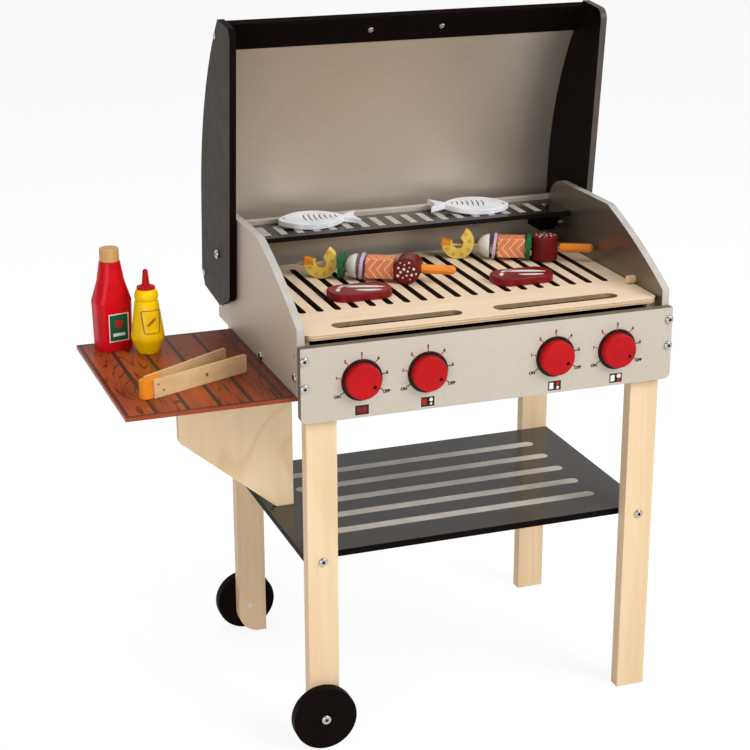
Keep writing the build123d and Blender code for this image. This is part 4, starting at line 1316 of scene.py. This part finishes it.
@dataclass
class Stand:
    """Legs, lower shelf and wheels."""

    workshop: Workshop
    leg_edge: float = 0.9 * MM
    wheel_edge: float = 0.3 * MM
    shelf_edge: float = 0.6 * MM
    stripe_step: float = 50.0 * MM
    stripe_width: float = 16.0 * MM
    stripe_length: float = 381.0 * MM
    stripe_shift: float = 3.5 * MM

    def build(self) -> None:
        """Make the legs, the shelf with its stripes and the wheels."""
        for end in ("front", "rear"):
            for side, _ in SIDES:
                self.workshop.piece(f"leg_{end}_{side}", self.leg_edge, [BIRCH_UPRIGHT])
            self.workshop.piece(f"wheel_{end}", self.wheel_edge, [BLACK])
        self.shelf()

    def shelf(self) -> None:
        """The charcoal shelf and its five round-ended stripes."""
        self.workshop.piece("lower_shelf", self.shelf_edge, [BLACK, CHARCOAL], [faces_along(2, 1.0)])
        stripes = Stencil("shelf_stripes")
        # The stripes take the paler silver, painted light for the shade under the body.
        for number in range(-2, 3):
            stripes.bar(self.stripe_shift, number * self.stripe_step, self.stripe_length, self.stripe_width,
                        Ink.LIT_SILVER, round_ends=True)
        stripes.lay(self.workshop, "lower_shelf", Matrix.Translation(top_middle(*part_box("lower_shelf"))))


@dataclass
class Lid:
    """The lid: black sides and rails round a sheet that is silver inside."""

    workshop: Workshop
    side_edge: float = 1.0 * MM
    rail_edge: float = 0.8 * MM
    handle_edge: float = 1.2 * MM
    cover_edge: float = 0.4 * MM

    def build(self) -> None:
        """Dress the lid's pieces; the edge of its right side is lighter grey, a painted highlight."""
        for side, outward in SIDES:
            # Only the right side's edge gets the painted highlight.
            edge = BLACK if side == "left" else LID_EDGE_HIGHLIGHT
            self.workshop.piece(f"lid_side_{side}", self.side_edge, [edge, BLACK_SIDE_SHEEN, BLACK],
                                both_faces(0, outward))
        self.workshop.piece("lid_front_rail", self.rail_edge, [BLACK])
        self.workshop.piece("lid_rear_rail", self.rail_edge, [BLACK])
        self.workshop.piece("lid_handle", self.handle_edge, [BLACK])
        self.workshop.piece("lid_cover", self.cover_edge, [BLACK, FOIL_LID],
                            [lambda _, normal: normal.y < -0.25])
        paint_faces(self.workshop.nodes["lid_screws"], [STEEL])


@dataclass(frozen=True)
class Mark:
    """One shape of a printed sign, placed from the sign's middle; one without a height is a disc."""

    x: float
    y: float
    size: float
    ink: Ink
    height: float = 0.0

    def draw(self, stencil: Stencil, drop: float) -> None:
        """Draw it on a stencil.

        Args:
            stencil: The stencil.
            drop: How far the sign's middle lies under the stencil's origin.
        """
        x, y = self.x * MM, self.y * MM - drop
        if self.height:
            stencil.bar(x, y, self.size * MM, self.height * MM, self.ink, level=1)
        else:
            stencil.disc(x, y, self.size * MM, self.ink, level=1)


@dataclass
class Controls:
    """Knobs with their printed dials and the small signs under them."""

    workshop: Workshop
    knob_edge: float = 0.4 * MM
    ring: float = 27.0 * MM
    ring_share: float = 0.6
    tick: float = 5.0 * MM
    tick_overlap: float = 1.0 * MM
    tick_width: float = 1.2 * MM
    digit_at: float = 33.6 * MM
    word_at: float = 37.0 * MM
    letter: float = 3.9 * MM
    sign: tuple[float, float] = (17.8 * MM, 12.5 * MM)
    sign_drop: float = 39.0 * MM
    dot_radius: float = 1.3 * MM
    dot_at: float = 15.0 * MM
    dot_ahead: float = 8.0 * MM

    DIAL = (("ON", 210.0), ("1", 170.0), ("2", 130.0), ("3", 90.0), ("4", 50.0), ("5", 10.0), ("OFF", -30.0))
    RED_TICKS = ("1", "2", "3", "4")
    SIGNS = (
        tuple(Mark(2.7 * number, 0.0, 1.1, Ink.RED, 7.6) for number in range(-2, 3)),
        (Mark(-4.45, 0.0, 5.4, Ink.RED, 8.0), Mark(4.45, 2.25, 2.4, Ink.WHITE),
         Mark(4.45, -3.0, 1.6, Ink.WHITE)),
        (Mark(-4.45, 0.0, 5.8, Ink.WHITE, 8.6), Mark(4.45, 2.375, 2.7, Ink.RED),
         Mark(4.45, -3.0, 2.0, Ink.WHITE)),
        (Mark(-4.45, 0.0, 5.8, Ink.WHITE, 8.6), Mark(4.45, 2.25, 3.0, Ink.WHITE),
         Mark(4.45, -3.25, 2.2, Ink.RED)),
    )

    def build(self) -> None:
        """Make the four knobs and their prints."""
        for number, marks in enumerate(self.SIGNS, 1):
            middle = centre(f"knob_{number}")
            middle.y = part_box("front_panel")[0].y
            self.knob(number, middle)
            self.dial(number, middle, marks)

    def knob(self, number: int, middle: Vector) -> None:
        """The red knob, with painted shade in the recess of its dot, at OFF.

        Args:
            number: The knob's number.
            middle: Its middle on the panel's face.
        """
        off = math.radians(self.DIAL[-1][1])
        dot = middle + Vector((self.dot_at * math.cos(off), 0.0, self.dot_at * math.sin(off)))

        def in_dot(spot: Vector, _: Vector) -> bool:
            """Whether a face belongs to the recess."""
            reach = math.hypot(spot.x - dot.x, spot.z - dot.z)
            return reach < self.dot_radius and spot.y < middle.y - self.dot_ahead

        self.workshop.piece(f"knob_{number}", self.knob_edge, [KNOB_RED, SHADE], [in_dot])

    def dial(self, number: int, middle: Vector, marks: tuple[Mark, ...]) -> None:
        """The ring, ticks, digits and sign of one knob.

        Args:
            number: The knob's number.
            middle: Its middle on the panel's face.
            marks: What its sign shows on a black plate.
        """
        sheet = Stencil(f"dial_print_{number}")
        sheet.ring(self.ring, self.ring_share, Ink.BLACK)
        for label, degrees in self.DIAL:
            angle = math.radians(degrees)
            x, y = math.cos(angle), math.sin(angle)
            ink = Ink.RED if label in self.RED_TICKS else Ink.BLACK
            reach = self.ring + self.tick / 2 - self.tick_overlap
            sheet.bar(x * reach, y * reach, self.tick + 2 * self.tick_overlap, self.tick_width, ink,
                      turn=degrees, level=1)
            at = self.digit_at if len(label) == 1 else self.word_at
            sheet.words(label, x * at, y * at, self.letter, Ink.BLACK)
        sheet.bar(0.0, -self.sign_drop, *self.sign, Ink.BLACK)
        for mark in marks:
            mark.draw(sheet, self.sign_drop)
        sheet.lay(self.workshop, "front_panel", Matrix.Translation(middle) @ STANDING)


@dataclass
class Cooking:
    """The grill plate with its slots."""

    workshop: Workshop
    edge: float = 0.7 * MM
    slots_from: float = 80.0 * MM
    slot_margin: float = 4.0 * MM
    finger_margin: float = 12.0 * MM

    def build(self) -> None:
        """Dress the plate: birch faces, plywood edges, and slot walls darkened as painted shade."""
        low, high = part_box("grill_plate")
        slots_from = low.y + self.slots_from

        def upright(_: Vector, normal: Vector) -> bool:
            """Whether a face is a cut edge."""
            return abs(normal.z) < 0.3

        def in_slot(spot: Vector, normal: Vector) -> bool:
            """Whether a face is the wall of a long slot."""
            inside = min(spot.x - low.x, high.x - spot.x, high.y - spot.y) > self.slot_margin
            return upright(spot, normal) and inside and spot.y > slots_from

        def in_finger_slot(spot: Vector, normal: Vector) -> bool:
            """Whether a face is the wall of a finger slot."""
            inside = min(spot.x - low.x, high.x - spot.x, spot.y - low.y) > self.finger_margin
            return upright(spot, normal) and inside and spot.y < slots_from

        self.workshop.piece("grill_plate", self.edge, [BIRCH_PLATE, PLATE_EDGE, SHADED_SLOT_WALL, SHADED_FINGER_WALL],
                            [upright, in_slot, in_finger_slot])


@dataclass
class SideTable:
    """The printed table board and the plywood bracket under it."""

    workshop: Workshop
    table_edge: float = 1.2 * MM
    bracket_edge: float = 0.7 * MM

    def build(self) -> None:
        """Make the table, whose print ends at the grill's wall, and the bracket."""
        low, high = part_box("side_table")
        wall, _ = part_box("side_panel_left")
        planks = PlankPrint("plank print", low, Vector((wall.x, high.y, high.z)))
        self.workshop.piece("side_table", self.table_edge, [TABLE_EDGE, planks], [faces_along(2, 1.0)],
                            segments=3)
        self.workshop.piece("table_bracket", self.bracket_edge, [BRACKET_EDGE, LIT_BIRCH_BRACKET],
                            [either_way(1)])


def turned_box(workshop: Workshop, node: str, turn: Matrix) -> tuple[Vector, Vector]:
    """The box of a node in a turned frame.

    Args:
        workshop: The workshop that holds the nodes.
        node: The node to measure.
        turn: The frame's rotation.

    Returns:
        The lowest and highest corners, in the turned frame.
    """
    back = turn.to_3x3().transposed()
    spots = [back @ vertex.co for vertex in workshop.nodes[node].data.vertices]
    low = Vector(tuple(min(spot[i] for spot in spots) for i in range(3)))
    high = Vector(tuple(max(spot[i] for spot in spots) for i in range(3)))
    return low, high


@dataclass
class Skewer:
    """One skewer with its wooden food; the food's places are counted from the stick's tip."""

    workshop: Workshop
    side: str
    turn: float
    shrimp: float
    pepper: float
    mushroom: float
    onion: float
    upright: bool
    radius: float = 22.4 * MM
    rise: float = 3.8 * MM
    grip_start: float = 167.5 * MM
    slice_reach: float = 6.0 * MM
    mushroom_flat: float = 1.2 * MM
    spots: int = 15
    spot_reach: float = 14.4 * MM
    spot_turn: float = 2.4

    def build(self) -> None:
        """Make the stick, the painted food and the marks on it."""
        turn = rotation(self.turn)
        name = f"skewer_{self.side}"
        low, high = turned_box(self.workshop, f"{name}_stick", turn)
        self.tip = turn @ Vector((low.x, (low.y + high.y) / 2, (low.z + high.z) / 2))
        self.frame = Matrix.Translation(self.tip) @ turn
        self.stick(name)
        self.meat(name)
        self.slices(name)

    def along(self, spot: Vector) -> float:
        """How far along the stick a place is."""
        return (self.frame.inverted() @ spot).x

    def stick(self, name: str) -> None:
        """A bare stick with an orange grip."""
        self.workshop.piece(f"{name}_stick", 0.2 * MM, [STICK_WOOD, GRIP_ORANGE],
                            [lambda spot, _: self.along(spot) > self.grip_start], segments=1)

    def meat(self, name: str) -> None:
        """The shrimp, the salmon and the salami.

        Args:
            name: The skewer's name.
        """
        origin, turn = tuple(self.tip), math.radians(self.turn)
        shrimp = ShrimpMarks(f"shrimp paint {self.side}", (0.88, 0.66, 0.13), (0.88, 0.30, 0.018), origin,
                             turn, middle=(self.shrimp + self.radius, 0.0, self.rise))
        salmon = Chevrons(f"salmon paint {self.side}", (0.80, 0.24, 0.085), (0.86, 0.72, 0.58), origin, turn)
        self.workshop.piece(f"{name}_shrimp", 1.2 * MM, [shrimp], segments=3)
        self.workshop.piece(f"{name}_salmon", 0.8 * MM, [salmon])
        self.workshop.piece(f"{name}_salami", 0.3 * MM, [SALAMI_RED], segments=1)
        self.fat_spots(name)

    def fat_spots(self, name: str) -> None:
        """White spots on the flat face of the salami that shows.

        Args:
            name: The skewer's name.
        """
        spots = Stencil(f"{name}_salami_spots")
        for number in range(self.spots):
            reach = self.spot_reach * math.sqrt((number + 0.3) / self.spots)
            angle = number * self.spot_turn
            size = (1.45 + 0.5 * math.sin(number * 1.7)) * MM
            spots.disc(reach * math.cos(angle), reach * math.sin(angle), size, Ink.WHITE, sides=12)
        if self.upright:
            place = Matrix.Translation(top_middle(*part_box(f"{name}_salami")))
        else:
            turn = rotation(self.turn)
            low, high = turned_box(self.workshop, f"{name}_salami", turn)
            flat = turn @ Vector(((low.x + high.x) / 2, low.y, (low.z + high.z) / 2))
            place = Matrix.Translation(flat) @ turn @ STANDING
        spots.lay(self.workshop, f"{name}_salami", place)

    def slices(self, name: str) -> None:
        """The mushroom, the pepper and the onion, which are one piece in three colours.

        Args:
            name: The skewer's name.
        """
        onion_from = self.mushroom + self.mushroom_flat

        def in_pepper(spot: Vector, _: Vector) -> bool:
            """Whether a face belongs to the pepper."""
            return abs(self.along(spot) - self.pepper) < self.slice_reach

        def in_onion(spot: Vector, _: Vector) -> bool:
            """Whether a face belongs to the onion."""
            at = self.along(spot)
            return abs(at - self.onion) < self.slice_reach and at > onion_from

        self.workshop.piece(f"{name}_slices", 0.7 * MM, [MUSHROOM_WHITE, PEPPER_GREEN, ONION_LILAC],
                            [in_pepper, in_onion])


@dataclass
class Steak:
    """A dark red steak with white fat lines: each one's x, y, length, width, bend and turn."""

    workshop: Workshop
    side: str
    edge: float = 0.8 * MM

    LINES = (
        (7.0, 4.0, 56.0, 9.0, 1.4, -19.0),
        (-15.0, 12.0, 22.0, 6.4, 1.8, 8.0),
        (9.0, -11.5, 34.0, 8.0, -1.2, -17.0),
        (-28.0, 0.0, 15.0, 5.6, 1.2, 62.0),
    )

    def build(self) -> None:
        """Make the steak and its lines."""
        node = f"steak_{self.side}"
        self.workshop.piece(node, self.edge, [STEAK_RED])
        lines = Stencil(f"{node}_lines")
        for x, y, length, width, bend, turn in self.LINES:
            lines.lens(x * MM, y * MM, length * MM, width * MM, Ink.WHITE, turn=turn, bend=bend * MM)
        lines.lay(self.workshop, node, Matrix.Translation(top_middle(*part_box(node))))


@dataclass
class Fish:
    """A white fish with dark curved dashes and an eye, leaning back on the rack."""

    workshop: Workshop
    side: str
    turn: float
    tilt: float = 7.5
    edge: float = 1.0 * MM
    length: float = 115.0 * MM
    dashes: int = 7
    dash_from: float = -18.0 * MM
    dash_step: float = 7.4 * MM
    dash: tuple[float, float] = (31.0 * MM, 2.0 * MM)
    dash_bend: float = 1.6 * MM
    dash_loss: float = 3.5 * MM
    first_loss: float = 7.0 * MM
    eye: Triple = (-48.0 * MM, 2.0 * MM, 1.7 * MM)

    def build(self) -> None:
        """Make the fish and its marks; the dashes grow shorter towards the tail."""
        node = f"fish_{self.side}"
        self.workshop.piece(node, self.edge, [FISH_WHITE], segments=3)
        turn = rotation(self.tilt, "X") @ rotation(self.turn)
        low, high = turned_box(self.workshop, node, turn)
        origin = turn @ Vector((high.x - self.length / 2, (low.y + high.y) / 2, high.z))
        marks = Stencil(f"{node}_marks")
        for number in range(self.dashes):
            x = self.dash_from + self.dash_step * number
            loss = self.dash_loss * number + (self.first_loss if number == 0 else 0.0)
            marks.lens(x, 0.0, self.dash[0] - loss, self.dash[1], Ink.SLATE, turn=90.0, bend=self.dash_bend)
        marks.disc(*self.eye, Ink.SLATE, sides=12)
        marks.lay(self.workshop, node, Matrix.Translation(origin) @ turn)


@dataclass
class Bottles:
    """The red and the yellow sauce bottles."""

    workshop: Workshop
    turn: float = 12.0
    label: tuple[float, float] = (28.0 * MM, 38.0 * MM)
    label_border: float = 1.3 * MM
    label_shift: float = 1.0 * MM
    label_height: float = 32.0 * MM
    shoulder: float = 66.0 * MM
    lean: float = 0.99
    wrap: tuple[float, float] = (24.0 * MM, 31.0 * MM)
    wrap_corner: float = 4.0 * MM
    wrap_line: float = 1.3 * MM
    wrap_flare: float = 0.22
    wrap_height: float = 45.0 * MM
    wrap_shift: float = 1.5 * MM
    wrap_gap: float = 5.0 * MM
    leaf: tuple[float, float] = (16.0 * MM, 3.4 * MM)
    leaf_turn: float = 40.0

    def build(self) -> None:
        """Make both bottles."""
        self.red_bottle()
        self.yellow_bottle()

    def red_bottle(self) -> None:
        """The red bottle, its bare wooden cap and its green label."""
        self.workshop.piece("ketchup_bottle", 2.2 * MM, [SAUCE_RED], segments=4, corner=14.0, smooth=50.0)
        self.workshop.piece("ketchup_cap", 0.5 * MM, [CAP_WOOD])
        turn = rotation(self.turn)
        low, high = turned_box(self.workshop, "ketchup_bottle", turn)
        front = low.y + math.tan(math.radians(self.lean)) * (self.shoulder - self.label_height)
        middle = (low.x + high.x) / 2 + self.label_shift
        spot = turn @ Vector((middle, front, low.z + self.label_height))
        label = Stencil("ketchup_label")
        width, tall = self.label
        border = 2 * self.label_border
        label.bar(0.0, 0.0, width, tall, Ink.WHITE)
        label.bar(0.0, 0.0, width - border, tall - border, Ink.GREEN, level=1)
        label.disc(0.0, 5.0 * MM, 5.6 * MM, Ink.RED, level=2)
        label.lens(0.0, 11.5 * MM, 7.0 * MM, 1.8 * MM, Ink.GREEN, turn=20.0, level=3)
        label.bar(0.0, -9.5 * MM, 17.0 * MM, 4.2 * MM, Ink.WHITE, level=2)
        leaning = turn @ rotation(90.0 + self.lean, "X")
        label.lay(self.workshop, "ketchup_bottle", Matrix.Translation(spot) @ leaning)

    def yellow_bottle(self) -> None:
        """The yellow bottle, its red nozzle and its outlined label."""
        bottle = self.workshop.piece("mustard_bottle", 1.2 * MM, [SAUCE_YELLOW], segments=3, corner=20.0,
                                     smooth=45.0)
        self.workshop.piece("mustard_nozzle", 0.4 * MM, [KNOB_RED])
        outline = self.flat_label()
        low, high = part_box("mustard_bottle")
        middle = Vector(((low.x + high.x) / 2 + self.wrap_shift, low.y - self.wrap_gap,
                         low.z + self.wrap_height))
        outline.matrix_world = Matrix.Translation(middle) @ STANDING
        settle(outline)
        use_modifier(outline, "SHRINKWRAP", target=bottle, wrap_method="PROJECT", use_project_y=True,
                     use_negative_direction=False, use_positive_direction=True, offset=0.05 * MM)
        use_modifier(outline, "SOLIDIFY", thickness=0.15 * MM, offset=1.0)
        activate(outline)
        with editing():
            bpy.ops.mesh.normals_make_consistent(inside=False)
        paint_faces(outline, [ink_paint(Ink.RUST)])
        self.workshop.register(outline, "mustard_bottle")

    def flat_label(self) -> bpy.types.Object:
        """A flat outline, wider at its top, with a slanting leaf in it.

        Returns:
            The label, lying on the floor's plane.
        """
        width, tall = self.wrap
        deselect()
        bpy.ops.mesh.primitive_plane_add(size=1.0)
        outline = bpy.context.active_object
        outline.name = "mustard_label"
        outline.scale = (width, tall, 1.0)
        settle(outline)
        with editing():
            bpy.ops.mesh.bevel(offset=self.wrap_corner, offset_type="OFFSET", segments=4, affect="VERTICES")
            bpy.ops.mesh.select_all(action="SELECT")
            bpy.ops.mesh.inset(thickness=self.wrap_line, depth=0.0)
            bpy.ops.mesh.delete(type="FACE")
            bpy.ops.mesh.select_all(action="SELECT")
            bpy.ops.mesh.subdivide(number_cuts=5)
        for vertex in outline.data.vertices:
            vertex.co.x *= 1.0 + self.wrap_flare * vertex.co.y / tall
        leaf = stroke(*self.leaf, 0.0, (12, 3))
        leaf.rotation_euler = (0.0, 0.0, math.radians(self.leaf_turn))
        settle(leaf)
        outline.select_set(True)
        bpy.context.view_layer.objects.active = outline
        bpy.ops.object.join()
        return outline


@dataclass
class Tongs:
    """Wooden tongs: two thin arms on an orange block."""

    workshop: Workshop
    block_edge: float = 0.8 * MM
    arm_edge: float = 0.4 * MM
    turn: float = 27.5
    spread: float = 4.0
    nails: tuple[tuple[float, float], ...] = ((6.0 * MM, 17.3 * MM), (14.0 * MM, 8.2 * MM))
    nail_reach: float = 1.7 * MM
    nail_rise: float = 0.6 * MM
    dot_at: float = 81.0 * MM
    dot_radius: float = 2.4 * MM

    def build(self) -> None:
        """Make the block, both arms and the dot on the front one."""
        self.workshop.piece("tongs_block", self.block_edge, [TONGS_ORANGE])
        turn, low, high = self.arm("tongs_arm_front", -self.spread)
        dot = Stencil("tongs_dot")
        dot.disc(0.0, 0.0, self.dot_radius, Ink.RUST)
        spot = turn @ Vector((low.x + self.dot_at, low.y + self.nail_rise, (low.z + high.z) / 2))
        dot.lay(self.workshop, "tongs_arm_front", Matrix.Translation(spot) @ turn @ STANDING)
        self.arm("tongs_arm_rear", self.spread)

    def arm(self, node: str, lean: float) -> tuple[Matrix, Vector, Vector]:
        """One arm with its nail heads.

        Args:
            node: The arm's node.
            lean: Its turn in degrees from the tongs' middle line.

        Returns:
            Its turn, and its lowest and highest corners in the turned frame.
        """
        turn = rotation(self.turn + lean)
        low, high = turned_box(self.workshop, node, turn)
        back = turn.to_3x3().transposed()

        def on_nail(spot: Vector, _: Vector) -> bool:
            """Whether a face belongs to a nail's head."""
            own = back @ spot - low
            return any(math.hypot(own.x - x, own.z - z) < self.nail_reach for x, z in self.nails)

        self.workshop.piece(node, self.arm_edge, [TONGS_WOOD, NAIL_HEAD], [on_nail])
        return turn, low, high


@dataclass
class Studio:
    """Pale floor, soft lights and the camera."""

    focal: float = 87.996
    azimuth: float = 19.915
    elevation: float = 19.079
    roll: float = -0.118
    eye: Triple = (-0.8814, -1.9997, 1.2400)
    sensor: float = 36.0
    far: float = 100.0
    floor_size: float = 30.0
    floor_grey: float = 0.80
    seen_grey: float = 0.20
    seen_glow: float = 0.87
    surround: tuple[float, float] = (0.20, 0.50)
    aim: Triple = (0.0, 0.0, 0.5)

    LIGHTS = (
        ("key", (1.8, -2.3, 2.3), 1.8, 84.0),
        ("fill", (-1.9, -2.4, 0.8), 1.8, 38.0),
        ("top", (-0.3, 0.4, 3.2), 2.4, 30.0),
    )

    def build(self) -> None:
        """Make the floor, the world, the lights and the camera."""
        self.floor()
        self.world()
        for light in self.LIGHTS:
            self.light(*light)
        self.camera()
        bpy.context.scene.view_settings.view_transform = "Standard"

    def floor(self) -> None:
        """A wide pale floor that looks white and keeps the shadow."""
        deselect()
        bpy.ops.mesh.primitive_plane_add(size=self.floor_size, location=(0.0, 0.0, 0.0))
        floor = bpy.context.active_object
        floor.name = "studio_floor"
        made = bpy.data.materials.new("studio floor")
        made.use_nodes = True
        made.node_tree.nodes.clear()
        graph = Graph(made.node_tree)
        rays = graph.add("ShaderNodeLightPath")
        seen = graph.math("MAXIMUM", rays.outputs["Is Camera Ray"], rays.outputs["Is Glossy Ray"])
        plain = graph.add("ShaderNodeBsdfDiffuse", {"Color": (self.floor_grey,) * 3})
        lit = graph.add("ShaderNodeBsdfDiffuse", {"Color": (self.seen_grey,) * 3})
        glow = graph.add("ShaderNodeEmission", {"Color": (1.0, 1.0, 1.0), "Strength": self.seen_glow})
        both = graph.add("ShaderNodeAddShader", {0: lit.outputs[0], 1: glow.outputs[0]})
        mixed = graph.add("ShaderNodeMixShader", {0: seen, 1: plain.outputs[0], 2: both.outputs[0]})
        graph.add("ShaderNodeOutputMaterial", {"Surface": mixed.outputs[0]})
        floor.data.materials.append(made)

    def world(self) -> None:
        """A surround that is white to the camera; for all else it is dimmer, most so on the camera's side."""
        world = bpy.data.worlds.new("studio")
        bpy.context.scene.world = world
        world.use_nodes = True
        world.node_tree.nodes.clear()
        graph = Graph(world.node_tree)
        way = graph.add("ShaderNodeTexCoord").outputs["Generated"]
        level = graph.spread(graph.split(way)[1], -1.0, 0.7, *self.surround)
        camera = graph.add("ShaderNodeLightPath").outputs["Is Camera Ray"]
        level = graph.math("MINIMUM", graph.math("ADD", level, camera), 1.0)
        back = graph.add("ShaderNodeBackground", {"Color": (1.0, 1.0, 1.0), "Strength": level})
        graph.add("ShaderNodeOutputWorld", {"Surface": back.outputs[0]})

    def light(self, name: str, place: Triple, size: float, power: float) -> None:
        """A soft square light that looks at the grill.

        Args:
            name: The light's name.
            place: Where it hangs.
            size: Its side.
            power: Its power in watts.
        """
        deselect()
        bpy.ops.object.light_add(type="AREA", location=place)
        lamp = bpy.context.active_object
        lamp.name = name
        lamp.data.size = size
        lamp.data.energy = power
        way = Vector(self.aim) - Vector(place)
        lamp.rotation_euler = way.to_track_quat("-Z", "Y").to_euler()

    def camera(self) -> None:
        """The camera at the photograph's place."""
        low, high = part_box("front_panel")
        zero = Vector(((low.x + high.x) / 2, low.y, 0.0))
        azimuth, elevation, roll = (math.radians(a) for a in (self.azimuth, self.elevation, self.roll))
        ahead = Vector((math.sin(azimuth) * math.cos(elevation), math.cos(azimuth) * math.cos(elevation),
                        -math.sin(elevation)))
        right = ahead.cross(Vector((0.0, 0.0, 1.0))).normalized()
        up = right.cross(ahead)
        right, up = (right * math.cos(roll) + up * math.sin(roll),
                     up * math.cos(roll) - right * math.sin(roll))
        deselect()
        bpy.ops.object.camera_add()
        camera = bpy.context.active_object
        axes = Matrix((right, up, -ahead)).transposed().to_4x4()
        camera.matrix_world = Matrix.Translation(zero + Vector(self.eye)) @ axes
        camera.data.lens = self.focal
        camera.data.sensor_width = self.sensor
        camera.data.clip_end = self.far
        bpy.context.scene.camera = camera


def main() -> None:
    """Build every sub-assembly in order and report it."""
    logging.basicConfig(level=logging.INFO, format="%(message)s")
    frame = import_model()
    workshop = Workshop(frame)
    parts = [
        Body(workshop),
        Stand(workshop),
        Lid(workshop),
        Controls(workshop),
        Cooking(workshop),
        SideTable(workshop),
        Skewer(workshop, "left", turn=-30.0, shrimp=9.0 * MM, pepper=60.0 * MM, mushroom=81.0 * MM,
               onion=88.0 * MM, upright=False),
        Skewer(workshop, "right", turn=-26.0, shrimp=4.0 * MM, pepper=124.5 * MM, mushroom=70.5 * MM,
               onion=77.5 * MM, upright=True),
        Steak(workshop, "left"),
        Steak(workshop, "right"),
        Fish(workshop, "left", turn=-3.4),
        Fish(workshop, "right", turn=167.3),
        Bottles(workshop),
        Tongs(workshop),
        Studio(),
    ]
    for part in parts:
        part.build()
        LOG.info("%s done", type(part).__name__)
    deselect()


if __name__ == "__main__":
    main()
